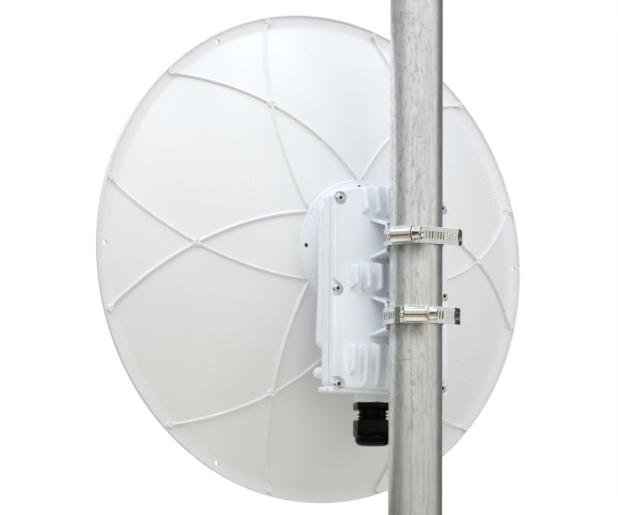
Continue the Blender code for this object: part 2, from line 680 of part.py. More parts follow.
def make_gland(plastic, rubber):
    centre = (0.0, behind_rim(GLAND_DEPTH), AXIS_HEIGHT)
    flange_top = GLAND_BOSS_BOTTOM - GAP
    sides = [(x + centre[0], y + centre[1]) for x, y in hexagon(GLAND_HEX_ACROSS_FLATS, GLAND_TURN)]
    body = prism("gland_body", sides, above_axis(GLAND_FLANGE_BOTTOM), above_axis(flange_top), "Z", plastic)
    neck_end = GLAND_NUT_BOTTOM + GLAND_NECK_IN_NUT
    neck = [(0.0, GLAND_FLANGE_BOTTOM + 0.001), (GLAND_THREAD_RADIUS, GLAND_FLANGE_BOTTOM + 0.001),
            (GLAND_THREAD_RADIUS, neck_end), (0.0, neck_end)]
    combine(body, turned("gland neck", neck, 28, centre, "Z", plastic), "UNION")
    bore_low = neck_end - 0.001
    bore_high = flange_top - 0.001
    bore = [(0.0, bore_low), (GLAND_BORE, bore_low), (GLAND_BORE, bore_high), (0.0, bore_high)]
    combine(body, turned("gland bore", bore, 20, centre, "Z", plastic, 0.04), "DIFFERENCE")
    smooth(body)

    nut = prism("gland_nut", sides, above_axis(GLAND_NUT_BOTTOM), above_axis(GLAND_NUT_TOP), "Z", plastic)
    outer = GLAND_HEX_ACROSS_FLATS / math.sqrt(3)
    reach = outer + 0.0005
    dome = [(0.0, GLAND_NUT_TOP + 0.001), (reach, GLAND_NUT_TOP + 0.001), (reach, GLAND_NUT_SHOULDER)]
    for step in range(5):
        turn = math.radians(90 * step / 4)
        dome.append((outer - GLAND_DOME_ROUND - GAP + GLAND_DOME_ROUND * math.cos(turn),
                     GLAND_NUT_BOTTOM + GLAND_DOME_ROUND * (1 - math.sin(turn))))
    dome.append((0.0, GLAND_NUT_BOTTOM))
    combine(nut, turned("nut dome", dome, 40, centre, "Z", plastic), "INTERSECT")
    floor = GLAND_NUT_BOTTOM + GLAND_NUT_FLOOR
    well = [(0.0, GLAND_NUT_TOP + 0.001), (GLAND_THREAD_RADIUS + GAP, GLAND_NUT_TOP + 0.001),
            (GLAND_THREAD_RADIUS + GAP, floor), (GLAND_MOUTH, floor), (GLAND_MOUTH, GLAND_NUT_BOTTOM - 0.001),
            (0.0, GLAND_NUT_BOTTOM - 0.001)]
    combine(nut, turned("nut well", well, 28, centre, "Z", plastic, 0.04), "DIFFERENCE")
    smooth(nut)

    seal_radius = GLAND_THREAD_RADIUS - 0.0002
    seal = [(GLAND_SEAL_BORE, floor + GAP), (seal_radius, floor + GAP), (seal_radius, neck_end - GAP),
            (GLAND_SEAL_BORE, neck_end - GAP)]
    smooth(turned("gland_seal", seal, 28, centre, "Z", rubber))


# Hose clamps

def around_pole(radius, turn):
    """A point round the pole; the turn is counted from +Y toward +X."""
    return radius * math.sin(turn), radius * math.cos(turn)


def band_path(housing_turn, tail_length):
    """The band's inner face seen from above: once round pole and saddle, over its own start, out to the tail."""
    inner = POLE_RADIUS + GAP
    outer = inner + BAND_THICKNESS + GAP
    start = housing_turn + math.radians(21)
    corner_x = SADDLE_TIP_WIDTH + GAP
    bar_front = behind_rim(SADDLE_TIP - SADDLE_BAR_DEPTH)
    bar_back = behind_rim(SADDLE_TIP)
    path = []
    steps = 16
    for step in range(steps + 1):
        path.append(around_pole(inner, start + (math.radians(-90) - start) * step / steps))
    low_corner = (corner_x - 0.0002, bar_front - GAP)
    reach = math.hypot(*low_corner)
    tangent = math.atan2(low_corner[0], -low_corner[1]) - math.acos(inner / reach)
    right = [(corner_x + 0.0001, bar_back), (corner_x, bar_front), low_corner]
    path += [(-x, y) for x, y in right]
    for step in range(5):
        turn = math.pi + tangent - 2 * tangent * step / 4
        path.append(around_pole(inner, turn))
    path += list(reversed(right))
    foot_of_climb = start + math.radians(11)
    steps = 4
    for step in range(steps + 1):
        path.append(around_pole(inner, math.radians(92) + (foot_of_climb - math.radians(92)) * step / steps))
    climb = start + math.radians(5)
    steps = 12
    for step in range(steps + 1):
        path.append(around_pole(outer, climb + (TAIL_ANGLE - climb) * step / steps))
    x, y = path[-1]
    path.append((x - tail_length * math.cos(TAIL_ANGLE), y + tail_length * math.sin(TAIL_ANGLE)))
    return path


def offset_path(path, distance):
    """The path moved outward, away from the pole, by a distance."""
    moved = []
    for number, (x, y) in enumerate(path):
        before = path[max(number - 1, 0)]
        after = path[min(number + 1, len(path) - 1)]
        into = Vector((x - before[0], y - before[1]))
        out = Vector((after[0] - x, after[1] - y))
        into = into.normalized() if into.length > 1e-9 else out.normalized()
        out = out.normalized() if out.length > 1e-9 else into
        mean = (into + out).normalized()
        normal = Vector((mean.y, -mean.x))
        stretch = 1 / max(0.6, mean.dot(into))
        moved.append((x + normal.x * distance * stretch, y + normal.y * distance * stretch))
    return moved


def make_band(name, height, housing_turn, tail_length, finish):
    inner = band_path(housing_turn, tail_length)
    outer = offset_path(inner, BAND_THICKNESS)
    low = above_axis(height - BAND_DROP) - BAND_WIDTH / 2
    high = above_axis(height - BAND_DROP) + BAND_WIDTH / 2
    rings = [[(*a, low), (*b, low), (*b, high), (*a, high)] for a, b in zip(inner, outer)]
    return smooth(loft(f"{name}_band", rings, finish), 40)


def place_on_pole(thing, height, turn):
    thing.location = (0.0, 0.0, above_axis(height - BAND_DROP))
    thing.rotation_euler = (0.0, 0.0, -turn)
    return thing


def make_worm_housing(name, finish):
    """Drawn lying along X, with +Y outward from the pole: a tunnel for the screw on two skirts over the band."""
    roof = POLE_RADIUS + 2 * (GAP + BAND_THICKNESS) + GAP
    channel = BAND_WIDTH / 2 + GAP
    shoulder = roof + 0.0008
    section = [(WORM_SKIRT_FOOT, -WORM_HOUSING_HALF), (shoulder, -WORM_HOUSING_HALF)]
    for step in range(11):
        turn = math.radians(-88 + 176 * step / 10)
        rise = (WORM_SHELL_TOP - shoulder) * math.cos(turn) ** 0.8
        section.append((shoulder + rise, WORM_SHELL_HALF * math.sin(turn)))
    section += [(shoulder, WORM_HOUSING_HALF), (WORM_SKIRT_FOOT, WORM_HOUSING_HALF), (WORM_SKIRT_FOOT, channel),
                (roof, channel), (roof, -channel), (WORM_SKIRT_FOOT, -channel)]
    housing = prism(f"{name}_screw_housing", section, -WORM_LENGTH / 2, WORM_LENGTH / 2, "X", finish)
    radius = WORM_RADIUS + GAP
    bore = [(0.0, -WORM_LENGTH), (radius, -WORM_LENGTH), (radius, WORM_LENGTH), (0.0, WORM_LENGTH)]
    tool = turned(f"{name} screw bore", bore, 20, (0.0, WORM_CENTRE, 0.0), "X", finish)
    tool.parent = housing
    combine(housing, tool, "DIFFERENCE")
    return smooth(housing)


def make_worm_screw(name, finish):
    """Drawn lying along X, its hexagon head toward -X."""
    end = -WORM_LENGTH / 2 - GAP
    collar_end = end - WORM_COLLAR_LENGTH
    tip = WORM_LENGTH / 2 + WORM_TIP_LENGTH
    profile = [(0.0, collar_end), (WORM_COLLAR_RADIUS, collar_end), (WORM_COLLAR_RADIUS, end), (WORM_RADIUS, end),
               (WORM_RADIUS, tip - 0.001), (WORM_RADIUS - 0.0012, tip), (0.0, tip)]
    screw = turned(f"{name}_worm_screw", profile, 20, (0.0, WORM_CENTRE, 0.0), "X", finish)
    head = [(y + WORM_CENTRE, z) for y, z in hexagon(WORM_HEAD_ACROSS_FLATS, WORM_HEAD_TURN)]
    tool = prism(f"{name} hexagon head", head, collar_end - WORM_HEAD_LENGTH, collar_end + 0.0004, "X", finish)
    tool.parent = screw
    combine(screw, tool, "UNION")
    return smooth(screw)


def make_clamps(steel):
    for name, height, turn, tail in CLAMPS:
        make_band(name, height, turn, tail, steel)
        place_on_pole(make_worm_housing(name, steel), height, turn)
        place_on_pole(make_worm_screw(name, steel), height, turn)


# Pole

def make_pole(steel, plastic):
    bore = POLE_RADIUS - POLE_WALL
    foot = [(0.0, 0.0), (POLE_RADIUS, 0.0), (POLE_RADIUS, FOOT_THICKNESS - GAP), (0.0, FOOT_THICKNESS - GAP)]
    smooth(turned("pole_foot", foot, 64, (0.0, 0.0, 0.0), "Z", steel))
    tube = [(bore, FOOT_THICKNESS), (POLE_RADIUS, FOOT_THICKNESS), (POLE_RADIUS, POLE_LENGTH), (bore, POLE_LENGTH)]
    smooth(turned("pole_tube", tube, 64, (0.0, 0.0, 0.0), "Z", steel))
    seat = POLE_LENGTH + GAP
    top = seat + CAP_THICKNESS
    plug = bore - GAP
    cap = [(0.0, top), (POLE_RADIUS - CAP_CHAMFER, top), (POLE_RADIUS, top - CAP_CHAMFER), (POLE_RADIUS, seat), (plug, seat),
           (plug - 0.0008, seat - CAP_PLUG), (0.0, seat - CAP_PLUG)]
    smooth(turned("pole_cap", cap, 48, (0.0, 0.0, 0.0), "Z", plastic))


def build():
    clear_scene()
    dish_plastic = material("dish_plastic", (0.86, 0.87, 0.88), 0.45, 0.0)
    paint = material("housing_paint", (0.78, 0.82, 0.88), 0.38, 0.0)
    galvanised = material("galvanised_steel", (0.52, 0.53, 0.52), 0.42, 0.9)
    stainless = material("stainless_steel", (0.72, 0.71, 0.69), 0.22, 1.0)
    black_plastic = material("black_plastic", (0.02, 0.02, 0.022), 0.4, 0.0)
    rubber = material("rubber", (0.03, 0.03, 0.03), 0.8, 0.0)

    make_pole(galvanised, black_plastic)
    make_reflector(dish_plastic)
    make_feed(dish_plastic, stainless)
    make_adaptor(paint)
    make_base(paint)
    make_gasket(rubber)
    make_cover(paint)
    make_cover_screws(stainless)
    make_vent_plug(paint)
    make_gland(black_plastic, rubber)
    make_clamps(stainless)


build()
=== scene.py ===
import math

import bmesh
import bpy
from mathutils import Matrix, Vector


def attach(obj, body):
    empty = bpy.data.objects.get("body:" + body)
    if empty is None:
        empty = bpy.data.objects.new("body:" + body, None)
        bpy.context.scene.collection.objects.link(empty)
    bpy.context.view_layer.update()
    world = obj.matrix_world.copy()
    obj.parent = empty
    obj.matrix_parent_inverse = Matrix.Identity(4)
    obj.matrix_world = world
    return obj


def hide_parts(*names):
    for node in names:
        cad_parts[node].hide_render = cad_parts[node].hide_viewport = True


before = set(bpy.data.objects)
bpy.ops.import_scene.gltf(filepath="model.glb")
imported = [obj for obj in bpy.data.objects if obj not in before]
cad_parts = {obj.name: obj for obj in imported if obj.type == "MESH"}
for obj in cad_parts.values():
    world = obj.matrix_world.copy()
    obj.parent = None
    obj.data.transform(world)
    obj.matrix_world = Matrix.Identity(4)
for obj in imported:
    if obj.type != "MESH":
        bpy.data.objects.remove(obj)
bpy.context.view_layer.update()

# Microwave dish antenna on a pole: its finished shapes, its materials, the camera and the studio.
# Metres, +Z up. Depths are given behind the plane of the dish's rim, and heights above the dish's axis.

scene = bpy.context.scene

# Pole and the dish's place on it
POLE_LENGTH = 0.600
POLE_RADIUS = 0.020
POLE_WALL = 0.003
FOOT_THICKNESS = 0.006
CAP_THICKNESS = 0.003
AXIS_HEIGHT = 0.320
RIM_TO_POLE = 0.1373
GAP = 0.0003
HAIR_EDGE = 0.00005

# Dish
RIM_RADIUS = 0.200
APERTURE_RADIUS = 0.1902
BOWL_DEPTH = 0.0619
FOUR_FOCAL_LENGTHS = 0.584
SHELL = 0.0025
HUB_RADIUS = 0.0545
HUB_FACE = 0.0581
HUB_FRONT = 0.0553
HUB_FRONT_RADIUS = 0.048
PATTERN_TURN = math.radians(-1.0)
RIB_PAIRS = 6
RIB_SPREAD = math.radians(15)
RIM_BOSS_RING = 0.196
CROSSING_RING = 0.1317
RIM_HOLE_RING = 0.1937
RIM_HOLE_RADIUS = 0.0019
HUB_HOLE_RING = 0.0492
HUB_HOLE_RADIUS = 0.0017

# Feed
FEED_RADIUS = 0.017
FEED_BORE = 0.014
FEED_END = -0.066
FEED_CAP_RADIUS = 0.036
FEED_CAP_FRONT = -0.086
COLLAR_RADIUS = 0.034
NECK_SOCKET_DEPTH = 0.076

# Radio housing
HALF_WIDTH = 0.052
ARCH_TOP = 0.0433
ARCH_RADIUS = 0.150
COVER_BOTTOM = -0.1133
BASE_BOTTOM = -0.1165
CORNER = 0.006
ADAPTOR_FRONT = 0.081
ADAPTOR_TOE = 0.0776
ADAPTOR_BACK = 0.0864
ADAPTOR_BOTTOM = -0.084
ADAPTOR_TOP = 0.030
TOE_TOP = -0.038
BASE_FRONT = 0.0867
BASE_BACK = 0.0966
COVER_FRONT = 0.0984
COVER_FACE = 0.105
LIP_OUT = 0.0016

# Fins, saddles and pockets on the cover
FIN_PITCH = 0.0105
FIN_WIDTH = 0.0030
FIN_CROWN = 0.1145
FIN_CROWN_HEIGHT = -0.035
FIN_CROWN_RADIUS = 0.560
FIN_TOP_CHAMFER = 0.0025
FIN_FOOT_CHAMFER = 0.0032
# Top and foot of each fin, counted outward from the middle of the cover
FIN_GROUPS = (
    ("top", ((0.0425, 0.0185), (0.0418, 0.0190), (0.0403, 0.0197))),
    ("middle", ((-0.0164, -0.0405), (-0.0164, -0.0405), (-0.0170, -0.0400), (-0.0191, -0.0383))),
    ("bottom", ((-0.0782, -0.1128), (-0.0782, -0.1128), (-0.0789, -0.1128), (-0.0794, -0.1032))),
)
SADDLE_ROOT_WIDTH = 0.0204
SADDLE_TIP_WIDTH = 0.0196
SADDLE_PLATES = ((0.0175, 0.0112), (-0.0150, -0.0109))
SADDLE_PLATE = 0.0025
SADDLE_TIP = 0.1265
SADDLE_BAR_DEPTH = 0.0018
COVER_SCREWS = ((0.0468, 0.0303), (0.0486, -0.0389), (0.0470, -0.1108))
POCKET_RADIUS = 0.0052
POCKET_DEPTH = 0.0028
MIDDLE_POCKET = ((0.056, -0.0275), (0.0455, -0.0360), (0.0436, -0.0385), (0.0438, -0.0412), (0.0456, -0.0436),
                 (0.056, -0.0478))
BOTTOM_POCKET = ((0.056, -0.1046), (0.0462, -0.1052), (0.0432, -0.1066), (0.0414, -0.1090), (0.0392, -0.1175),
                 (0.056, -0.1175))
VENT_RADIUS = 0.0046
VENT_NECK_RADIUS = 0.0038
VENT_NECK_LENGTH = 0.0012
VENT_LENGTH = 0.0140
VENT_X = 0.0470
VENT_HEIGHT = -0.1010

# Cable gland
GLAND_DEPTH = 0.0779
GLAND_BOSS_RADIUS = 0.0145
GLAND_BOSS_TOP = -0.088
GLAND_BOSS_BOTTOM = -0.1223
GLAND_FLANGE_BOTTOM = -0.1284
GLAND_NUT_TOP = -0.1359
GLAND_NUT_SHOULDER = -0.1468
GLAND_NUT_BOTTOM = -0.1556
GLAND_HEX_ACROSS_FLATS = 0.0272
GLAND_THREAD_RADIUS = 0.0111
GLAND_THREAD_CREST = 0.0121
GLAND_THREAD_ROOT = 0.0106
GLAND_DOME_RADIUS = 0.0135
GLAND_BORE = 0.0060
GLAND_MOUTH = 0.0085

# Hose clamps: name, height, turn of the screw housing round the pole from +Y toward +X, lengths of the tail
# and of its bent end, and the round of the tail's corners
CLAMPS = (("upper", 0.0, math.radians(57.5), 0.0307, 0.0082, 0.0026),
          ("lower", -0.0593, math.radians(33.8), 0.0302, 0.0112, 0.0004))
BAND_THICKNESS = 0.0008
BAND_WIDTH = 0.0125
BAND_DROP = 0.0007
TAIL_ANGLE = math.radians(5.0)
SLOT_PITCH = 0.0024
SLOT_HEIGHT = 0.0059
SLOT_WIDTH = 0.00125
TAIL_BEND_TURN = math.radians(30)
BAND_ROOF = POLE_RADIUS + 2 * (GAP + BAND_THICKNESS) + GAP
WORM_LENGTH = 0.0165
WORM_CENTRE = 0.0256
WORM_SHELL_TOP = 0.0296
WORM_SHELL_HALF = 0.0061
WORM_HOUSING_HALF = 0.0072
WORM_SKIRT_FOOT = 0.0208
WORM_HEAD_ACROSS_FLATS = 0.0089
WORM_HEAD_LENGTH = 0.0060
WORM_COLLAR_RADIUS = 0.0049
WORM_COLLAR_LENGTH = 0.0008
WORM_TIP_LENGTH = 0.0036


def behind_rim(depth):
    return depth - RIM_TO_POLE


def above_axis(height):
    return height + AXIS_HEIGHT


# Node trees

class Wire:
    """An output of a node. Arithmetic on it adds Math nodes."""

    def __init__(self, net, socket):
        self.net = net
        self.socket = socket

    def math(self, operation, *others):
        return self.net.add("ShaderNodeMath", {"operation": operation}, dict(enumerate((self, *others))))

    def after(self, operation, first):
        return self.net.add("ShaderNodeMath", {"operation": operation}, {0: first, 1: self})

    def __add__(self, other):
        return self.math("ADD", other)

    def __radd__(self, other):
        return self.after("ADD", other)

    def __sub__(self, other):
        return self.math("SUBTRACT", other)

    def __rsub__(self, other):
        return self.after("SUBTRACT", other)

    def __mul__(self, other):
        return self.math("MULTIPLY", other)

    def __rmul__(self, other):
        return self.after("MULTIPLY", other)

    def __truediv__(self, other):
        return self.math("DIVIDE", other)

    def __neg__(self):
        return self.math("MULTIPLY", -1.0)

    def __gt__(self, other):
        return self.math("GREATER_THAN", other)

    def __lt__(self, other):
        return self.math("LESS_THAN", other)

    def output(self, name):
        return Wire(self.net, self.socket.node.outputs[name])


class Net:
    """A node tree that is filled through one method."""

    def __init__(self, tree):
        self.tree = tree

    def add(self, kind, settings=None, values=None, output=0):
        node = self.tree.nodes.new(kind)
        for name, setting in (settings or {}).items():
            if name == "stops":
                stops = node.color_ramp.elements
                while len(stops) < len(setting):
                    stops.new(1.0)
                for stop, (position, colour) in zip(stops, setting):
                    stop.position = position
                    stop.color = (*colour, 1.0) if isinstance(colour, tuple) else (colour, colour, colour,
                                                                                   1.0)
            else:
                setattr(node, name, setting)
        for name, value in (values or {}).items():
            if isinstance(value, Wire):
                self.tree.links.new(value.socket, node.inputs[name])
            else:
                node.inputs[name].default_value = value
        return Wire(self, node.outputs[output]) if len(node.outputs) else node

    def vector(self, x, y, z):
        return self.add("ShaderNodeCombineXYZ", None, {"X": x, "Y": y, "Z": z})

    def parts(self, vector):
        split = self.add("ShaderNodeSeparateXYZ", None, {"Vector": vector})
        return split, split.output("Y"), split.output("Z")

    def sum(self, first, second):
        return self.add("ShaderNodeVectorMath", {"operation": "ADD"}, {0: first, 1: second})

    def scaled(self, vector, factor):
        return self.add("ShaderNodeVectorMath", {"operation": "SCALE"}, {0: vector, "Scale": factor})

    def blend(self, amount, first, second, way="MIX"):
        return self.add("ShaderNodeMix", {"data_type": "RGBA", "blend_type": way},
                        {0: amount, 6: first, 7: second}, 2)

    def limits(self, value, low, high, new_low=0.0, new_high=1.0):
        return self.add("ShaderNodeMapRange", {"interpolation_type": "SMOOTHSTEP"},
                        {"Value": value, "From Min": low, "From Max": high, "To Min": new_low,
                         "To Max": new_high})


# Plain shapes: each is a pair of points and faces

def skin(rings, around=True, along=False, capped=True):
    count = len(rings[0])
    points = [tuple(point) for ring in rings for point in ring]
    faces = []
    for step in range(len(rings) if along else len(rings) - 1):
        here = step * count
        there = (step + 1) % len(rings) * count
        for side in range(count if around else count - 1):
            other = (side + 1) % count
            faces.append((here + side, here + other, there + other, there + side))
    if capped and not along:
        faces.append(tuple(range(count)))
        faces.append(tuple(range((len(rings) - 1) * count, len(rings) * count)))
    return points, faces


def joined(*shapes):
    points = []
    faces = []
    for more_points, more_faces in shapes:
        start = len(points)
        points += more_points
        faces += [tuple(start + corner for corner in face) for face in more_faces]
    return points, faces


def moved(shape, place):
    return [tuple(place(*point)) for point in shape[0]], shape[1]


def on_circle(radius, turn, centre=(0.0, 0.0)):
    return centre[0] + radius * math.cos(turn), centre[1] + radius * math.sin(turn)


def arc(centre, radius, start, end, steps=8):
    return [on_circle(radius, math.radians(start + (end - start) * step / steps), centre)
            for step in range(steps + 1)]


def rounded(points, radius, steps=4):
    """Rounds the corners of an outline. The radius is one number, or one for each corner."""
    count = len(points)
    radii = radius if isinstance(radius, (list, tuple)) else [radius] * count
    result = []
    for number, point in enumerate(points):
        if radii[number] == 0:
            result.append(tuple(point))
            continue
        corner = Vector(point)
        before = Vector(points[number - 1]) - corner
        after = Vector(points[(number + 1) % count]) - corner
        angle = before.angle(after)
        if angle > math.radians(176):
            result.append(tuple(point))
            continue
        reach = min(radii[number] / math.tan(angle / 2), 0.48 * before.length, 0.48 * after.length)
        start = corner + before.normalized() * reach
        end = corner + after.normalized() * reach
        for step in range(steps + 1):
            share = step / steps
            result.append(tuple(start * (1 - share) ** 2 + corner * 2 * share * (1 - share) + end
                                * share ** 2))
    return result


def inset(outline, distance):
    """A closed outline drawn in by a distance."""
    area = sum(a[0] * b[1] - b[0] * a[1] for a, b in zip(outline, outline[1:] + outline[:1]))
    side = math.copysign(distance, area)
    result = []
    for number, point in enumerate(outline):
        into = (Vector(point) - Vector(outline[number - 1])).normalized()
        out = (Vector(outline[(number + 1) % len(outline)]) - Vector(point)).normalized()
        mean = (into + out).normalized()
        stretch = side / max(0.5, mean.dot(out))
        result.append((point[0] - mean.y * stretch, point[1] + mean.x * stretch))
    return result


AXES = {"X": lambda a, b, c: (c, a, b), "Y": lambda a, b, c: (a, c, b), "Z": lambda a, b, c: (a, b, c)}


def slab(outline, low, high, axis, low_edge=0.0004, high_edge=None, steps=3):
    """An outline drawn out along an axis, with its edges rounded at both ends."""
    high_edge = low_edge if high_edge is None else high_edge
    levels = []
    for step in range(steps + 1):
        turn = math.pi / 2 * step / steps
        levels.append((low + low_edge * (1 - math.sin(turn)), low_edge * (1 - math.cos(turn))))
    levels.reverse()
    for step in range(steps + 1):
        turn = math.pi / 2 * step / steps
        levels.append((high - high_edge * (1 - math.sin(turn)), high_edge * (1 - math.cos(turn))))
    levels = [(low, low_edge)] + [pair for pair in levels if pair[1] < low_edge or pair[0] > (low + high) / 2]
    levels.sort()
    rings = []
    for level, draw_in in levels:
        ring = inset(outline, draw_in) if draw_in else outline
        rings.append([AXES[axis](a, b, level) for a, b in ring])
    return skin(rings)


def lathe(profile, segments, centre, axis, start=0.0):
    """A closed profile of (radius, distance along the axis) turned once round the axis."""
    rings = []
    for step in range(segments):
        turn = start + 2 * math.pi * step / segments
        ring = []
        for radius, distance in profile:
            a, b = on_circle(radius, turn)
            x, y, z = {"X": (distance, a, b), "Y": (a, distance, b), "Z": (a, b, distance)}[axis]
            ring.append((centre[0] + x, centre[1] + y, centre[2] + z))
        rings.append(ring)
    return skin(rings, along=True)


def solid(name, shape, finish, sharp=32):
    """An object from points and faces, with doubles merged and faces turned outward."""
    mesh = bpy.data.meshes.new(name)
    mesh.from_pydata(shape[0], [], shape[1])
    work = bmesh.new()
    work.from_mesh(mesh)
    bmesh.ops.remove_doubles(work, verts=work.verts, dist=2e-7)
    bmesh.ops.delete(work, geom=[edge for edge in work.edges if not edge.link_faces], context="EDGES")
    bmesh.ops.recalc_face_normals(work, faces=work.faces)
    work.to_mesh(mesh)
    work.free()
    mesh.materials.append(finish)
    shade(mesh, sharp)
    thing = bpy.data.objects.new(name, mesh)
    scene.collection.objects.link(thing)
    return thing


def shade(mesh, sharp):
    mesh.shade_smooth()
    mesh.set_sharp_from_angle(angle=math.radians(sharp))


def settle(thing, sharp=None):
    """Applies an object's modifiers to its mesh."""
    mesh = bpy.data.meshes.new_from_object(thing.evaluated_get(bpy.context.evaluated_depsgraph_get()))
    thing.modifiers.clear()
    thing.data = mesh
    if sharp:
        shade(mesh, sharp)
    return thing


def drop(*things):
    for thing in things:
        bpy.data.objects.remove(thing, do_unlink=True)


def united(name, things):
    """Puts the meshes of several objects into one."""
    work = bmesh.new()
    for thing in things:
        work.from_mesh(thing.data)
    mesh = bpy.data.meshes.new(name)
    work.to_mesh(mesh)
    work.free()
    mesh.materials.append(things[0].data.materials[0])
    drop(*things)
    whole = bpy.data.objects.new(name, mesh)
    scene.collection.objects.link(whole)
    return whole


def carve(thing, tools, operation="DIFFERENCE", bevel=0.0, sharp=32):
    """Cuts, joins or crops an object with tools, and then rounds the edges that this leaves."""
    for tool in tools:
        change = thing.modifiers.new("cut", "BOOLEAN")
        change.operation = operation
        change.solver = "EXACT"
        change.object = tool
    if bevel:
        change = thing.modifiers.new("edge", "BEVEL")
        change.width = bevel
        change.segments = 2
        change.limit_method = "ANGLE"
        change.angle_limit = math.radians(38)
        change.use_clamp_overlap = True
    settle(thing, sharp)
    drop(*tools)
    return thing


def keep(piece, slot, *nodes):
    """A finished piece: it rides on the antenna and stands for its CAD nodes. Its slot is not used."""
    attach(piece, "root")
    if nodes:
        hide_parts(*nodes)


# Geometry Nodes

def recipe(name, inputs, build):
    """A Geometry Nodes tree with named inputs, whose last steps realize it and give it its material."""
    tree = bpy.data.node_groups.new(name, "GeometryNodeTree")
    tree.interface.new_socket("Geometry", in_out="OUTPUT", socket_type="NodeSocketGeometry")
    for label, kind in (*inputs.items(), ("Material", "Material")):
        tree.interface.new_socket(label, in_out="INPUT", socket_type=f"NodeSocket{kind}")
    net = Net(tree)
    entry = tree.nodes.new("NodeGroupInput")
    given = {label: Wire(net, entry.outputs[label]) for label in (*inputs, "Material")}
    shape = net.add("GeometryNodeRealizeInstances", None, {"Geometry": build(net, given)})
    shape = net.add("GeometryNodeSetMaterial", None, {"Geometry": shape, "Material": given["Material"]})
    tree.links.new(shape.socket, tree.nodes.new("NodeGroupOutput").inputs[0])
    return tree


def grown(name, tree, values, sharp=32):
    """Runs a tree with its inputs set and keeps the result as a plain mesh."""
    thing = bpy.data.objects.new(name, bpy.data.meshes.new(name))
    scene.collection.objects.link(thing)
    change = thing.modifiers.new("shape", "NODES")
    change.node_group = tree
    for item in tree.interface.items_tree:
        if item.in_out == "INPUT":
            change[item.identifier] = values[item.name]
    settle(thing)
    work = bmesh.new()
    work.from_mesh(thing.data)
    bmesh.ops.recalc_face_normals(work, faces=work.faces)
    work.to_mesh(thing.data)
    work.free()
    shade(thing.data, sharp)
    return thing


def wire_outline(name, points, closed=True):
    """An outline or a path as loose edges, for a tree to turn into a curve."""
    mesh = bpy.data.meshes.new(name)
    edges = [(number, number + 1) for number in range(len(points) - 1)]
    if closed:
        edges.append((len(points) - 1, 0))
    mesh.from_pydata([(*point, 0.0)[:3] for point in points], edges, [])
    thing = bpy.data.objects.new(name, mesh)
    scene.collection.objects.link(thing)
    return thing


def shape_of(net, thing):
    return net.add("GeometryNodeObjectInfo", {"transform_space": "ORIGINAL"}, {"Object": thing}, "Geometry")


def curve_of(net, thing):
    shape = shape_of(net, thing)
    return net.add("GeometryNodeMeshToCurve", None, {"Mesh": shape})


def dish_to_row(net, shape):
    """Turns a shape drawn across the dish's axis, with Z as depth, into the row's frame."""
    x, y, z = net.parts(net.add("GeometryNodeInputPosition"))
    place = net.vector(x, z - RIM_TO_POLE, y + AXIS_HEIGHT)
    shape = net.add("GeometryNodeSetPosition", None, {"Geometry": shape, "Position": place})
    return net.add("GeometryNodeFlipFaces", None, {"Mesh": shape})


def polar(net, radius, turn):
    return net.vector(turn.math("COSINE") * radius, turn.math("SINE") * radius, 0.0)


def rib_tree(net, given):
    """Crossing ribs: each follows an arc through its rim boss, a crossing and the hub, laid on the bowl."""
    shapes = []
    for side in (-1, 1):
        path = net.add("GeometryNodeCurveArc", {"mode": "POINTS"}, {
            "Resolution": given["Points"], "Start": polar(net, given["Rim Ring"], given["Spread"] * -side),
            "Middle": net.vector(given["Crossing Ring"], 0.0, 0.0),
            "End": polar(net, given["Hub Ring"], given["Spread"] * (2 * side))})
        x, y, _ = net.parts(net.add("GeometryNodeInputPosition"))
        distance = (x * x + y * y).math("SQRT")
        depth = (given["Bowl Depth"] - distance * distance / given["Four Focal Lengths"]).math("MAXIMUM", 0.0)
        depth = depth - net.limits(distance, 0.0585, 0.0530) * given["Sink"]
        path = net.add("GeometryNodeSetPosition", None,
                       {"Geometry": path, "Position": net.vector(x, y, depth)})
        path = net.add("GeometryNodeSetCurveNormal", {"mode": "Z_UP"}, {"Curve": path})
        shapes.append(net.add("GeometryNodeCurveToMesh", None, {
            "Curve": path, "Profile Curve": curve_of(net, given["Section"]), "Fill Caps": True}))
    pair = net.add("GeometryNodeJoinGeometry", None, {0: shapes[0]})
    net.tree.links.new(shapes[1].socket, pair.socket.node.inputs[0])
    spots = net.add("GeometryNodeMeshLine", None, {"Count": given["Pairs"], "Offset": (0.0, 0.0, 0.0)})
    turn = net.add("GeometryNodeInputIndex") * (2 * math.pi / RIB_PAIRS) + given["Turn"]
    pairs = net.add("GeometryNodeInstanceOnPoints", None, {
        "Points": spots, "Instance": pair, "Rotation": net.vector(0.0, 0.0, turn)})
    return dish_to_row(net, net.add("GeometryNodeRealizeInstances", None, {"Geometry": pairs}))


def ring_tree(net, given):
    """One shape set a number of times on a ring round the dish's axis, at one depth."""
    spots = net.add("GeometryNodeMeshLine", None, {"Count": given["Count"], "Offset": (0.0, 0.0, 0.0)})
    turn = net.add("GeometryNodeInputIndex") * (2 * math.pi) / given["Count"] + given["Turn"]
    place = net.sum(polar(net, given["Ring"], turn), net.vector(0.0, 0.0, given["Depth"]))
    spots = net.add("GeometryNodeSetPosition", None, {"Geometry": spots, "Position": place})
    shape = shape_of(net, given["Shape"])
    ring = net.add("GeometryNodeInstanceOnPoints", None, {
        "Points": spots, "Instance": shape, "Rotation": net.vector(0.0, 0.0, turn)})
    return dish_to_row(net, net.add("GeometryNodeRealizeInstances", None, {"Geometry": ring}))


def row_tree(net, given):
    """One shape repeated in a row along X, centred on the antenna."""
    first = (given["Count"] - 1) * given["Pitch"] * -0.5
    spots = net.add("GeometryNodeMeshLine", None, {
        "Count": given["Count"], "Start Location": net.vector(first, 0.0, 0.0),
        "Offset": net.vector(given["Pitch"], 0.0, 0.0)})
    shape = shape_of(net, given["Shape"])
    return net.add("GeometryNodeInstanceOnPoints", None, {"Points": spots, "Instance": shape})


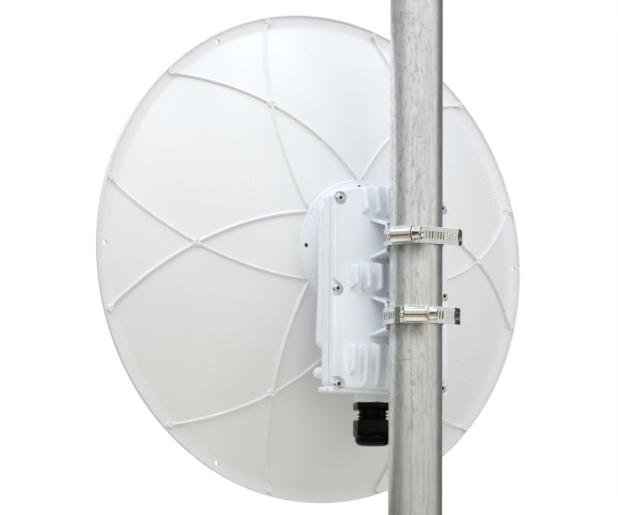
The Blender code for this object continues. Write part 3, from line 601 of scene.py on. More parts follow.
def spots_tree(net, given):
    """One shape on each point of another object, each turned a different way about Y."""
    spots = shape_of(net, given["Spots"])
    spots = net.add("GeometryNodeMeshToPoints", None, {"Mesh": spots})
    shape = shape_of(net, given["Shape"])
    turn = net.add("FunctionNodeRandomValue", {"data_type": "FLOAT"}, {2: 0.0, 3: 1.0, "Seed": given["Seed"]},
                   1)
    return net.add("GeometryNodeInstanceOnPoints", None, {
        "Points": spots, "Instance": shape, "Rotation": net.vector(0.0, turn * given["Most Turn"], 0.0)})


def thread_tree(net, given):
    """A screw thread: a ridge wound round a spiral."""
    path = net.add("GeometryNodeCurveSpiral", None, {
        "Resolution": 40, "Rotations": given["Turns"], "Start Radius": given["Radius"],
        "End Radius": given["Radius"],
        "Height": given["Turns"] * given["Pitch"]})
    path = net.add("GeometryNodeSetCurveNormal", {"mode": "Z_UP"}, {"Curve": path})
    ridge = net.add("GeometryNodeCurveToMesh", None, {
        "Curve": path, "Profile Curve": curve_of(net, given["Section"]), "Fill Caps": True})
    return net.add("GeometryNodeTransform", None, {"Geometry": ridge, "Translation": given["Place"]})


def band_tree(net, given):
    """A clamp's band: slotted and plain cells laid in a row, then bent along the path round the pole."""
    spots = net.add("GeometryNodeMeshLine", None, {
        "Count": given["Cells"], "Start Location": net.vector(given["Pitch"] * 0.5, 0.0, 0.0),
        "Offset": net.vector(given["Pitch"], 0.0, 0.0)})
    number = net.add("GeometryNodeInputIndex")
    slotted = (number > given["First Slot"]) * (number < given["Last Slot"])
    rows = []
    for shape, chosen in ((given["Slotted Cell"], slotted), (given["Plain Cell"], 1.0 - slotted)):
        cell = shape_of(net, shape)
        rows.append(net.add("GeometryNodeInstanceOnPoints", None, {
            "Points": spots, "Instance": cell, "Selection": chosen > 0.5}))
    row = net.add("GeometryNodeJoinGeometry", None, {0: rows[0]})
    net.tree.links.new(rows[1].socket, row.socket.node.inputs[0])
    row = net.add("GeometryNodeRealizeInstances", None, {"Geometry": row})
    row = net.add("GeometryNodeMergeByDistance", None, {"Geometry": row, "Distance": 2e-6})
    along, across, outward = net.parts(net.add("GeometryNodeInputPosition"))
    corner = given["Corner"]
    short = (corner - (given["Cells"] * given["Pitch"] - along)).math("MAXIMUM", 0.0)
    reach = given["Half Width"] - corner + (corner * corner - short * short).math("MAXIMUM", 0.0).math("SQRT")
    across = across.math("MINIMUM", reach).math("MAXIMUM", -reach)
    spot = net.add("GeometryNodeSampleCurve", {"mode": "LENGTH"}, {
        "Curves": curve_of(net, given["Path"]), "Length": along}, "Position")
    side = net.add("ShaderNodeVectorMath", {"operation": "CROSS_PRODUCT"}, {
        0: spot.output("Tangent"), 1: (0.0, 0.0, 1.0)})
    side = net.add("ShaderNodeVectorMath", {"operation": "NORMALIZE"}, {0: side})
    place = net.sum(spot, net.sum(net.scaled(side, outward), net.vector(0.0, 0.0, across + given["Height"])))
    return net.add("GeometryNodeSetPosition", None, {"Geometry": row, "Position": place})


RIBS = recipe("crossing ribs", {
    "Section": "Object", "Pairs": "Int", "Turn": "Float", "Spread": "Float", "Points": "Int",
    "Rim Ring": "Float",
    "Crossing Ring": "Float", "Hub Ring": "Float", "Bowl Depth": "Float", "Four Focal Lengths": "Float",
    "Sink": "Float"}, rib_tree)
RING = recipe("ring on the dish", {
    "Shape": "Object", "Count": "Int", "Ring": "Float", "Turn": "Float", "Depth": "Float"}, ring_tree)
ROW = recipe("row across the cover", {"Shape": "Object", "Count": "Int", "Pitch": "Float"}, row_tree)
SPOTS = recipe("one on each spot", {
    "Shape": "Object", "Spots": "Object", "Most Turn": "Float", "Seed": "Int"}, spots_tree)
THREAD = recipe("screw thread", {
    "Section": "Object", "Turns": "Float", "Radius": "Float", "Pitch": "Float", "Place": "Vector"},
                thread_tree)
BAND = recipe("slotted clamp band", {
    "Path": "Object", "Slotted Cell": "Object", "Plain Cell": "Object", "Cells": "Int", "First Slot": "Int",
    "Last Slot": "Int", "Pitch": "Float", "Height": "Float", "Half Width": "Float", "Corner": "Float"},
              band_tree)


# Materials

def finish(name, build):
    made = bpy.data.materials.new(name)
    made.use_nodes = True
    made.node_tree.nodes.clear()
    net = Net(made.node_tree)
    surface = build(net)
    made.node_tree.links.new(surface.socket,
                             made.node_tree.nodes.new("ShaderNodeOutputMaterial").inputs["Surface"])
    return made


def noise(net, size, detail=3.0, stretch=(1.0, 1.0, 1.0), roughness=0.5, distortion=0.0):
    """Noise on the object's own coordinates; the size is that of one blotch, in metres."""
    place = net.add("ShaderNodeTexCoord", None, None, "Object")
    place = net.add("ShaderNodeMapping", None,
                    {"Vector": place, "Scale": tuple(1 / axis for axis in stretch)})
    return net.add("ShaderNodeTexNoise", None, {
        "Vector": place, "Scale": 1.0 / size, "Detail": detail, "Roughness": roughness,
        "Distortion": distortion})


def bump(net, height, distance):
    return net.add("ShaderNodeBump", None, {"Height": height, "Distance": distance, "Strength": 1.0})


def principled(net, colour, roughness, normal, metallic=0.0, specular=0.5, coat=0.0):
    return net.add("ShaderNodeBsdfPrincipled", None, {
        "Base Color": colour, "Roughness": roughness, "Normal": normal, "Metallic": metallic,
        "Specular IOR Level": specular, "Coat Weight": coat, "Coat Roughness": 0.12})


def dish_plastic(net):
    """Moulded off-white plastic with flow marks, painted whiter and bluer at the hub as painted light, with
    four round ejector marks there drawn as thin rings of painted shade.
    """
    cloud = net.limits(noise(net, 0.055, 4.0, (1.0, 1.0, 1.7)), 0.30, 0.72)
    fine = noise(net, 0.0016, 2.0)
    colour = net.blend(cloud, (0.812, 0.815, 0.812, 1.0), (0.785, 0.789, 0.784, 1.0))
    x, _, z = net.parts(net.add("ShaderNodeTexCoord", None, None, "Object"))
    up = z - AXIS_HEIGHT
    # Painted light: within the hub's radius the colour is made whiter and bluer, standing for bluish light
    # thrown onto the hub from the housing.
    hub = 1.0 - net.limits((x * x + up * up).math("SQRT"), 0.0530, 0.0550)
    colour = net.blend(hub, colour, (0.915, 0.930, 0.950, 1.0))
    # Painted shade: a thin darker ring round each of four spots on the hub, standing for the shade in the
    # groove of an ejector mark.
    across = x.math("ABSOLUTE") - HUB_HOLE_RING * math.cos(math.radians(30))
    up = up.math("ABSOLUTE") - HUB_HOLE_RING * math.sin(math.radians(30))
    mark = ((across * across + up * up).math("SQRT") - 0.0031).math("ABSOLUTE")
    colour = net.blend((1.0 - net.limits(mark, 0.0001, 0.0006)) * 0.20, colour, (0.45, 0.48, 0.53, 1.0))
    rough = cloud * 0.06 + fine * 0.05 + 0.25
    return principled(net, colour, rough, bump(net, fine + cloud * 2.0, 0.00002))


def housing_paint(net):
    """Bluish-white powder coat: orange peel, slightly glossy, with faint grime in blotches."""
    peel = noise(net, 0.0011, 2.0)
    cloud = net.limits(noise(net, 0.030, 3.0), 0.35, 0.70)
    colour = net.blend(cloud, (0.858, 0.892, 0.934, 1.0), (0.830, 0.864, 0.906, 1.0))
    return principled(net, colour, peel * 0.10 + 0.27, bump(net, peel, 0.00005), coat=0.15)


def galvanised(net):
    """Hot-dip zinc: drawn out along the pole in fine lines, cracked in patches, with two deeper scratches,
    and darkened just below each clamp by painted shadow and painted reflection.
    """
    lines = noise(net, 0.0007, 2.0, (1.0, 1.0, 45.0), 0.55)
    broad = noise(net, 0.0042, 2.0, (1.0, 1.0, 16.0), 0.5)
    cloud = noise(net, 0.0050, 5.0, (1.0, 1.0, 1.8), 0.65, 0.4)
    mottle = noise(net, 0.0024, 3.0, (1.0, 1.0, 2.6), 0.6)
    place = net.add("ShaderNodeTexCoord", None, None, "Object")
    x, y, z = net.parts(place)
    turn = x.math("ARCTAN2", y)
    worn = net.limits(z, 0.13, 0.21)
    quiet = net.limits(turn, -1.6, -1.1) * (1.0 - net.limits(turn, 0.10, 0.45))
    colour = net.blend(net.limits(cloud, 0.30, 0.72), (0.87, 0.88, 0.830, 1.0), (0.98, 0.98, 0.925, 1.0))
    colour = net.blend(net.limits(mottle, 0.53, 0.64) * worn * 0.62, colour, (1.0, 1.0, 0.96, 1.0))
    colour = net.blend(net.limits(mottle, 0.47, 0.34) * worn * (0.62 - quiet * 0.40), colour,
                       (0.42, 0.47, 0.47, 1.0))
    colour = net.blend(net.limits(lines, 0.48, 0.66) * 0.45, colour, (1.0, 1.0, 0.95, 1.0))
    colour = net.blend(net.limits(lines, 0.50, 0.34) * 0.35, colour, (0.46, 0.50, 0.52, 1.0))
    colour = net.blend(net.limits(broad, 0.50, 0.68) * 0.30, colour, (0.55, 0.58, 0.57, 1.0))
    bend = net.scaled(noise(net, 0.0035, 3.0).output("Color"), 0.0022)
    marks = 0.0
    for size, stretch, width, chosen in ((0.0048, 1.7, 0.050, 0.50), (0.0085, 2.6, 0.022, 0.53)):
        cells = net.add("ShaderNodeMapping", None,
                        {"Vector": net.sum(place, bend), "Scale": (1.0, 1.0, 1 / stretch)})
        edge = net.add("ShaderNodeTexVoronoi", {"feature": "DISTANCE_TO_EDGE"},
                       {"Vector": cells, "Scale": 1 / size})
        patch = net.limits(noise(net, size * 2.6, 2.0, (1.0, 1.0, 2.0)), chosen, chosen + 0.06)
        broken = net.limits(noise(net, size * 0.5, 1.0), 0.44, 0.52)
        marks = (1.0 - net.limits(edge, width * 0.3, width)) * patch * broken + marks
    marks = marks * net.limits(z, 0.28, 0.43, 0.35, 1.0) * (1.0 - quiet * 0.8)
    drift = noise(net, 0.02, 2.0) * 0.05 + 0.715
    long_scratch = (1.0 - net.limits((turn - drift).math("ABSOLUTE"), 0.004, 0.016)) * (z < 0.318)
    long_scratch = long_scratch * net.limits(lines, 0.36, 0.44)
    ring_scratch = 1.0 - net.limits((z - 0.2263).math("ABSOLUTE"), 0.0001, 0.0005)
    ring_scratch = ring_scratch * (turn > 0.76) * (turn < 1.45)
    marks = (marks * 0.5).math("MAXIMUM", (long_scratch * 0.55).math("MAXIMUM", ring_scratch * 0.55))
    # Painted shadow and painted reflection: the pole is darkened for a short way below each clamp's band, on
    # its +X half, where the clamp's underside shades it and shows dark in it.
    painted_clamp_shade = 0.0
    for _, clamp, *_ in CLAMPS:
        foot = above_axis(clamp - BAND_DROP) - BAND_WIDTH / 2
        painted_clamp_shade = net.limits(z, foot - 0.018, foot + 0.001) * (z < foot + 0.002) + painted_clamp_shade
    blotch = net.limits(noise(net, 0.006, 3.0, (1.0, 1.0, 1.6)), 0.32, 0.66)
    painted_clamp_shade = painted_clamp_shade * net.limits(turn, 0.0, 0.5) * (blotch * 0.5 + 0.5)
    colour = net.blend(painted_clamp_shade * 0.95, colour, (0.20, 0.21, 0.18, 1.0))
    colour = net.blend(marks.math("MINIMUM", 0.75), colour, (0.22, 0.26, 0.30, 1.0))
    rough = cloud * 0.12 + lines * 0.08 + 0.23
    height = lines * 0.5 + cloud * 0.6 - marks * 0.6
    return principled(net, colour, rough, bump(net, height, 0.00008), metallic=0.88)


def stainless(net):
    """Rolled stainless strip and turned screws: bright, with fine drawn lines."""
    grain = noise(net, 0.0007, 3.0, (6.0, 6.0, 1.0), 0.6)
    cloud = noise(net, 0.006, 3.0)
    colour = net.blend(net.limits(cloud, 0.35, 0.70), (0.83, 0.81, 0.765, 1.0), (0.76, 0.745, 0.71, 1.0))
    return principled(net, colour, grain * 0.07 + cloud * 0.06 + 0.06, bump(net, grain, 0.000008),
                      metallic=1.0)


def black_plastic(net):
    """Glossy black polyamide with a faint moulded grain."""
    fine = noise(net, 0.0010, 2.0)
    cloud = noise(net, 0.012, 2.0)
    colour = net.blend(cloud, (0.0015, 0.0018, 0.0018, 1.0), (0.0032, 0.0035, 0.0035, 1.0))
    return principled(net, colour, fine * 0.06 + 0.14, bump(net, fine, 0.00002), specular=0.07)


def rubber(net):
    fine = noise(net, 0.0008, 3.0)
    colour = net.blend(fine, (0.022, 0.022, 0.022, 1.0), (0.040, 0.040, 0.039, 1.0))
    return principled(net, colour, fine * 0.15 + 0.62, bump(net, fine, 0.00006), specular=0.3)


def silicone(net):
    """Pale grey silicone cord between the two castings."""
    fine = noise(net, 0.0009, 2.0)
    colour = net.blend(fine, (0.66, 0.68, 0.71, 1.0), (0.72, 0.74, 0.77, 1.0))
    return principled(net, colour, fine * 0.1 + 0.5, bump(net, fine, 0.00004))


DISH_PLASTIC = finish("dish plastic", dish_plastic)
PAINT = finish("housing paint", housing_paint)
ZINC = finish("galvanised steel", galvanised)
STEEL = finish("stainless steel", stainless)
BLACK = finish("black plastic", black_plastic)
RUBBER = finish("rubber", rubber)
SILICONE = finish("pale silicone", silicone)


# Dish

def bowl_back(radius):
    return BOWL_DEPTH - radius ** 2 / FOUR_FOCAL_LENGTHS


def dish_profile():
    bead = HUB_FACE + 0.0006
    points = [(FEED_RADIUS + GAP, HUB_FACE), (HUB_RADIUS - 0.0022, HUB_FACE),
              (HUB_RADIUS - 0.0016, bead - 0.0002),
              (HUB_RADIUS - 0.0010, bead), (HUB_RADIUS - 0.0004, bead - 0.0002),
              (HUB_RADIUS, bowl_back(HUB_RADIUS) + 0.0004)]
    steps = 54
    for step in range(steps + 1):
        radius = HUB_RADIUS + 0.0004 + (APERTURE_RADIUS - HUB_RADIUS - 0.0008) * step / steps
        points.append((radius, bowl_back(radius)))
    inner_lip = RIM_RADIUS - 0.0013
    points += [(APERTURE_RADIUS + 0.0002, 0.00003), (inner_lip - 0.0002, 0.0), (inner_lip, 0.0002),
               (inner_lip + 0.0001, 0.0009), (inner_lip + 0.0004, 0.0013), (RIM_RADIUS - 0.0004, 0.0013),
               (RIM_RADIUS - 0.0001, 0.0012), (RIM_RADIUS, 0.0009), (RIM_RADIUS, -0.0024),
               (RIM_RADIUS - 0.0004, -0.0028),
               (inner_lip + 0.0002, -0.0028), (inner_lip - 0.0002, -0.0022),
               (APERTURE_RADIUS + 0.0014, -0.0022)]
    for step in range(steps + 1):
        radius = APERTURE_RADIUS - 0.0006 - (APERTURE_RADIUS - 0.0006 - HUB_FRONT_RADIUS) * step / steps
        slope = 2 * radius / FOUR_FOCAL_LENGTHS
        points.append((radius, bowl_back(radius) - SHELL * math.sqrt(1 + slope ** 2)))
    points.append((FEED_RADIUS + GAP, HUB_FRONT))
    return [(radius, behind_rim(depth)) for radius, depth in points]


def dish_boss(radius, height, foot, mark=0.0011):
    """A round moulded boss with a dimple, drawn along +Z from the dish's skin."""
    profile = [(0.0, -foot), (radius + 0.0009, -foot), (radius + 0.0007, 0.00005), (radius + 0.0002, 0.0005),
               (radius, height - 0.0006), (radius - 0.0002, height - 0.0002), (radius - 0.0006, height),
               (mark + 0.0003, height), (mark, height - 0.0002), (mark * 0.5, height - 0.0005),
               (0.0, height - 0.0006)]
    return solid("boss", lathe(profile, 28, (0, 0, 0), "Z"), DISH_PLASTIC)


def make_dish():
    centre = (0.0, 0.0, AXIS_HEIGHT)
    shell = solid("dish_shell", lathe(dish_profile(), 216, centre, "Y"), DISH_PLASTIC)
    tools = []
    for count, ring, radius, low, high in ((RIB_PAIRS, RIM_HOLE_RING, RIM_HOLE_RADIUS, -0.01, 0.01),
                                           (4, HUB_HOLE_RING, HUB_HOLE_RADIUS, 0.05, 0.065)):
        for number in range(count):
            x, z = on_circle(ring, PATTERN_TURN + 2 * math.pi * number / count)
            hole = [on_circle(radius, 2 * math.pi * side / 24 + 0.05, (x, above_axis(z)))
                    for side in range(24)]
            tools.append(solid("hole", slab(hole, behind_rim(low), behind_rim(high), "Y"), DISH_PLASTIC))
    keep(carve(shell, tools), "dish_plastic", "reflector")

    half = ((0.0, 0.00240), (0.00040, 0.00235), (0.00072, 0.00210), (0.00088, 0.0016), (0.00102, 0.0009),
            (0.0013, 0.0004),
            (0.0018, 0.00008), (0.0021, -0.0008))
    section = wire_outline("rib section", [(across, -up) for across, up in half] +
                           [(-across, -up) for across, up in reversed(half[1:])])
    ribs = grown("dish_ribs", RIBS, {
        "Section": section, "Pairs": RIB_PAIRS, "Turn": PATTERN_TURN, "Spread": RIB_SPREAD, "Points": 96,
        "Rim Ring": RIM_BOSS_RING, "Crossing Ring": CROSSING_RING, "Hub Ring": HUB_RADIUS - 0.0012,
        "Bowl Depth": BOWL_DEPTH, "Four Focal Lengths": FOUR_FOCAL_LENGTHS, "Sink": 0.0026,
        "Material": DISH_PLASTIC})
    keep(ribs, "dish_plastic")
    drop(section)

    rings = (("rim_bosses", dish_boss(0.0024, 0.0026, 0.0006), 2 * RIB_PAIRS, RIM_BOSS_RING,
              PATTERN_TURN + RIB_SPREAD, 0.0),
             ("crossing_bosses", dish_boss(0.0033, 0.0027, 0.0014, 0.0014), RIB_PAIRS, CROSSING_RING,
              PATTERN_TURN, bowl_back(CROSSING_RING)),
             # Dark discs in the hub's four holes: painted shade.
             ("hub_plugs", hub_hole_shade_disc(), 4, HUB_HOLE_RING, PATTERN_TURN, HUB_FACE))
    for name, shape, count, ring, turn, depth in rings:
        material = shape.data.materials[0]
        made = grown(name, RING, {"Shape": shape, "Count": count, "Ring": ring, "Turn": turn, "Depth": depth,
                                  "Material": material})
        keep(made, "rubber" if material == RUBBER else "dish_plastic")
        drop(shape)


def hub_hole_shade_disc():
    """A small dark disc set into a hole of the hub: painted shade, standing for the dark seen through the
    hole.
    """
    profile = rounded([(0.0, -0.0022), (HUB_HOLE_RADIUS, -0.0022), (HUB_HOLE_RADIUS, -0.0004),
                       (0.0, -0.0004)], [0, 0, 0.0004, 0])
    return solid("plug", lathe(profile, 24, (0, 0, 0), "Z"), RUBBER)


# Feed

def make_feed():
    centre = (0.0, behind_rim(0.0), AXIS_HEIGHT)
    tube = rounded([(FEED_BORE, FEED_END), (FEED_RADIUS, FEED_END), (FEED_RADIUS, NECK_SOCKET_DEPTH - GAP),
                    (FEED_BORE, NECK_SOCKET_DEPTH - GAP)], 0.0006)
    keep(solid("feed_waveguide", lathe(tube, 96, centre, "Y"), DISH_PLASTIC), "dish_plastic", "feed_tube")
    back = HUB_FRONT - GAP
    collar = rounded([(FEED_RADIUS + GAP, back - 0.005), (COLLAR_RADIUS, back - 0.005), (COLLAR_RADIUS, back),
                      (FEED_RADIUS + GAP, back)], [0.0005, 0.0012, 0.0002, 0.0002])
    keep(solid("feed_flange", lathe(collar, 96, centre, "Y"), DISH_PLASTIC), "dish_plastic", "feed_collar")
    back = FEED_END - GAP
    wide = FEED_CAP_RADIUS - 0.003
    cone = [(0.0, back), (FEED_RADIUS, back), (FEED_RADIUS + 0.0006, back - 0.0012),
            (FEED_RADIUS + 0.006, -0.0712),
            (wide - 0.0012, -0.0776), (wide, -0.0784), (wide, -0.080), (0.0, -0.080)]
    keep(solid("feed_horn", lathe(cone, 96, centre, "Y"), DISH_PLASTIC), "dish_plastic", "feed_cone")
    back = -0.080 - GAP
    cap = [(0.0, back), (FEED_CAP_RADIUS - 0.0003, back), (FEED_CAP_RADIUS, back - 0.0003),
           (FEED_CAP_RADIUS, back - 0.0018)]
    cap += [(FEED_CAP_RADIUS - 0.003 * share, back - 0.0020 - 0.0032 * share ** 1.6)
            for share in (0.3, 0.6, 0.85, 1.0)]
    cap += [(0.028, FEED_CAP_FRONT), (0.0272, FEED_CAP_FRONT + 0.0004), (0.0264, FEED_CAP_FRONT),
            (0.0, FEED_CAP_FRONT)]
    keep(solid("feed_reflector_cap", lathe(cap, 96, centre, "Y"), STEEL), "stainless_steel", "feed_cap")
    seat = HUB_FRONT - GAP - 0.005 - GAP
    spots = []
    for number in range(4):
        x, z = on_circle((FEED_RADIUS + COLLAR_RADIUS) / 2 + 0.001, math.radians(45 + 90 * number))
        spots.append((x, behind_rim(seat), above_axis(z)))
    head = pan_head(0.0030, 0.0022, 0.0012, -1)
    place = wire_outline("feed screw spots", spots, closed=False)
    made = grown("feed_screws", SPOTS,
                 {"Shape": head, "Spots": place, "Most Turn": 3.0, "Seed": 3, "Material": STEEL})
    keep(made, "stainless_steel", *(f"feed_screw_{number}" for number in range(1, 5)))
    drop(head, place)
    # Dark discs in the screws' sockets: painted shade.
    make_socket_shade_discs("feed_screw_sockets", spots, 0.0022, 0.0012, -1, 3.0, 3)


def pan_head(radius, height, socket, toward):
    """A domed screw head along Y with a six-sided socket, standing on the origin."""
    profile = [(0.0, 0.0), (radius - 0.0002, 0.0), (radius, 0.0002), (radius, height * 0.42)]
    for step in range(1, 6):
        turn = math.pi / 2 * step / 5
        profile.append((radius - 0.30 * radius * (1 - math.cos(turn)), height
                        * (0.42 + 0.58 * math.sin(turn))))
    profile.append((0.0, height))
    head = solid("screw head", lathe([(r, toward * d) for r, d in profile], 40, (0, 0, 0), "Y"), STEEL)
    sides = [on_circle(socket, math.radians(60 * corner + 12)) for corner in range(6)]
    low, high = sorted((toward * (height - 0.0014), toward * (height + 0.001)))
    tool = solid("socket", slab(sides, low, high, "Y", HAIR_EDGE), BLACK)
    return carve(head, [tool], bevel=0.00012)


# Radio housing

def housing_outline(bottom, draw_in=0.0):
    """The housing seen from behind: straight sides, round corners and an arched top."""
    half = HALF_WIDTH - draw_in
    low = above_axis(bottom) + draw_in
    arch = ARCH_RADIUS - draw_in
    arch_centre = above_axis(ARCH_TOP) - ARCH_RADIUS
    reach = half - CORNER
    corner_height = arch_centre + math.sqrt((arch - CORNER) ** 2 - reach ** 2)
    lean = math.degrees(math.asin(reach / (arch - CORNER)))
    outline = arc((-reach, low + CORNER), CORNER, 180, 270)
    outline += arc((reach, low + CORNER), CORNER, 270, 360)
    outline += arc((reach, corner_height), CORNER, 0, 90 - lean)
    outline += arc((0.0, arch_centre), arch, 90 - lean, 90 + lean, 40)[1:-1]
    outline += arc((-reach, corner_height), CORNER, 90 + lean, 180)
    return outline


def box_outline(left, right, low, high, corner, steps=5):
    outline = arc((left + corner, low + corner), corner, 180, 270, steps)
    outline += arc((right - corner, low + corner), corner, 270, 360, steps)
    outline += arc((right - corner, high - corner), corner, 0, 90, steps)
    return outline + arc((left + corner, high - corner), corner, 90, 180, steps)


def foot_bead(front, back):
    half = HALF_WIDTH + LIP_OUT
    outline = box_outline(-half, half, above_axis(BASE_BOTTOM), above_axis(COVER_BOTTOM) + 0.0010, 0.0015)
    return slab(outline, behind_rim(front), behind_rim(back), "Y", 0.0006)


def make_base():
    body = slab(housing_outline(COVER_BOTTOM), behind_rim(BASE_FRONT), behind_rim(BASE_BACK), "Y", 0.0014,
                0.0004, 4)
    y = behind_rim(GLAND_DEPTH)
    foot = above_axis(GLAND_BOSS_BOTTOM)
    top = above_axis(GLAND_BOSS_TOP)
    boss = rounded([(0.0, foot), (GLAND_BOSS_RADIUS, foot), (GLAND_BOSS_RADIUS, top), (0.0, top)],
                   [0.0, 0.0009, 0.0015, 0.0])
    boss = lathe(boss, 72, (0.0, y, 0.0), "Z")
    half = GLAND_BOSS_RADIUS - 0.0005
    web = box_outline(-half, half, above_axis(BASE_BOTTOM) + 0.0002, top - 0.0005, 0.0012)
    web = slab(web, y, behind_rim(BASE_FRONT + 0.002), "Y", 0.0003)
    shape = joined(body, foot_bead(BASE_FRONT - 0.0015, BASE_BACK), boss, web)
    keep(solid("radio_base_casting", shape, PAINT), "housing_paint", "radio_base")
    outline = housing_outline(BASE_BOTTOM, 0.0006)
    seal = slab(outline, behind_rim(BASE_BACK), behind_rim(COVER_FRONT), "Y", 0.0002)
    keep(solid("cover_seal", seal, SILICONE), "rubber", "cover_gasket")


def make_adaptor():
    half = HALF_WIDTH
    low = above_axis(ADAPTOR_BOTTOM)
    high = above_axis(ADAPTOR_TOP)
    outline = box_outline(-half, half, low, high, 0.008, 8)
    plate = slab(outline, behind_rim(ADAPTOR_TOE), behind_rim(ADAPTOR_BACK), "Y", 0.0008)
    toe = behind_rim(ADAPTOR_TOE) - 0.00003
    front = behind_rim(ADAPTOR_FRONT)
    back = behind_rim(0.0870)
    side = [(back, low - 0.01), (toe, low - 0.01), (toe, low), (front, above_axis(TOE_TOP)),
            (front, high + 0.01),
            (back, high + 0.01)]
    crop = solid("toe", slab(side, -0.07, 0.07, "X", HAIR_EDGE), PAINT)
    adaptor = carve(solid("radio_bracket", plate, PAINT), [crop], "INTERSECT", bevel=0.0005)
    centre = (0.0, behind_rim(0.0), AXIS_HEIGHT)
    neck = [(FEED_RADIUS + GAP, HUB_FACE + GAP), (0.0364, HUB_FACE + GAP), (0.0370, HUB_FACE + GAP + 0.0006)]
    neck += [(0.0370 + 0.0080 * share ** 1.5, HUB_FACE + GAP + 0.0006 + 0.0205 * share)
             for share in (0.25, 0.5, 0.75, 1.0)]
    neck += [(0.0462, 0.0806), (0.0476, 0.0812), (0.0476, 0.0835), (FEED_RADIUS + GAP, 0.0835)]
    neck = solid("bracket_neck", lathe(neck, 96, centre, "Y"), PAINT)
    keep(adaptor, "housing_paint", "mounting_adaptor")
    keep(neck, "housing_paint")


def fin_crest(height):
    return FIN_CROWN - (height - FIN_CROWN_HEIGHT) ** 2 / (2 * FIN_CROWN_RADIUS)


def fin(top, bottom):
    """One fin at X 0: both ends are chamfered, and the crest follows the cover's crown."""
    root = COVER_FACE - 0.001
    first = top - FIN_TOP_CHAMFER
    last = bottom + FIN_FOOT_CHAMFER
    crest = [first + (last - first) * step / 8 for step in range(9)]
    points = [(root, top), (COVER_FACE, top)] + [(fin_crest(height), height) for height in crest]
    points += [(COVER_FACE, bottom), (root, bottom)]
    radii = [0.0, 0.0] + [0.0014] + [0.0] * 7 + [0.0012, 0.0, 0.0]
    outline = rounded([(behind_rim(depth), above_axis(height)) for depth, height in points], radii)
    return solid("fin", slab(outline, -FIN_WIDTH / 2, FIN_WIDTH / 2, "X", 0.0007), PAINT)


def saddle_plate(centre, root, tip):
    """One sloping plate of a saddle, narrower toward its tip."""
    inward = math.copysign(SADDLE_PLATE, root)
    sunk = COVER_FACE - 0.001
    outline = [(sunk, root), (SADDLE_TIP, tip), (SADDLE_TIP, tip - inward), (sunk, root - inward)]
    outline = rounded([(behind_rim(depth), above_axis(centre + height)) for depth, height in outline],
                      [0, 0.0007, 0.0007, 0])
    plate = slab(outline, -SADDLE_ROOT_WIDTH, SADDLE_ROOT_WIDTH, "X", 0.0006)
    start = behind_rim(sunk)
    taper = (1 - SADDLE_TIP_WIDTH / SADDLE_ROOT_WIDTH) / (SADDLE_TIP - sunk)
    return moved(plate, lambda x, y, z: (x * (1 - taper * (y - start)), y, z))


def make_cover():
    outline = housing_outline(COVER_BOTTOM)
    plate = slab(outline, behind_rim(COVER_FRONT), behind_rim(COVER_FACE), "Y", 0.0003, 0.0015, 4)
    cover = solid("radio_cover_plate", plate, PAINT)
    floor = behind_rim(COVER_FACE - POCKET_DEPTH)
    above = behind_rim(COVER_FACE + 0.003)
    tools = []
    for side in (-1, 1):
        x, height = COVER_SCREWS[0]
        round_pocket = [on_circle(POCKET_RADIUS, 2 * math.pi * step / 40, (side * x, above_axis(height)))
                        for step in range(40)]
        tools.append(solid("pocket", slab(round_pocket, floor, above, "Y", 0.0006), PAINT))
        for corners in (MIDDLE_POCKET, BOTTOM_POCKET):
            shape = rounded([(side * a, above_axis(b)) for a, b in corners], 0.0015)
            tools.append(solid("pocket", slab(shape, floor, above, "Y", 0.0006), PAINT))
    carve(cover, tools, bevel=0.0003)
    bead = solid("cover_foot_bead", foot_bead(COVER_FRONT, COVER_FACE - POCKET_DEPTH), PAINT)
    keep(cover, "housing_paint", "radio_cover")
    keep(bead, "housing_paint")
    for name, columns in FIN_GROUPS:
        pairs = []
        for column, (top, bottom) in enumerate(columns):
            shape = fin(top, bottom)
            pairs.append(grown(f"{name} fins", ROW, {
                "Shape": shape, "Count": 2, "Pitch": FIN_PITCH * (2 * column + 1), "Material": PAINT}))
            drop(shape)
        keep(united(f"{name}_cooling_fins", pairs), "housing_paint")
    for clamp, height, *_ in CLAMPS:
        plates = [saddle_plate(height, root, tip) for root, tip in SADDLE_PLATES]
        low, high = sorted(above_axis(height + tip) for _, tip in SADDLE_PLATES)
        for side in (-1, 1):
            x0, x1 = sorted((side * 0.0165, side * SADDLE_TIP_WIDTH))
            bar = box_outline(x0, x1, behind_rim(SADDLE_TIP - SADDLE_BAR_DEPTH), behind_rim(SADDLE_TIP),
                              0.0005)
            plates.append(slab(bar, low + 0.0005, high - 0.0005, "Z", 0.0001))
        saddle = solid(f"{clamp}_pole_saddle", joined(*plates[2:]), PAINT)
        keep(saddle, "housing_paint")
        for word, plate in zip(("top", "bottom"), plates[:2]):
            seat = [on_circle(POLE_RADIUS + GAP, 2 * math.pi * step / 96) for step in range(96)]
            tool = solid("seat", slab(seat, above_axis(-0.09), above_axis(0.03), "Z"), PAINT)
            cradle = carve(solid(f"{clamp}_saddle_{word}_plate", plate, PAINT), [tool], bevel=0.0003)
            keep(cradle, "housing_paint")


def make_socket_shade_discs(name, spots, depth, socket, toward, most_turn, seed):
    """A dark disc at the bottom of each screw's socket: painted shade in the recess."""
    sides = [on_circle(socket - 0.00006, math.radians(60 * corner + 12)) for corner in range(6)]
    low, high = sorted((toward * (depth - 0.00135), toward * (depth - 0.0009)))
    shape = solid("socket floor", slab(sides, low, high, "Y", HAIR_EDGE), RUBBER)
    place = wire_outline("socket spots", spots, closed=False)
    made = grown(name, SPOTS,
                 {"Shape": shape, "Spots": place, "Most Turn": most_turn, "Seed": seed, "Material": RUBBER})
    keep(made, "rubber")
    drop(shape, place)


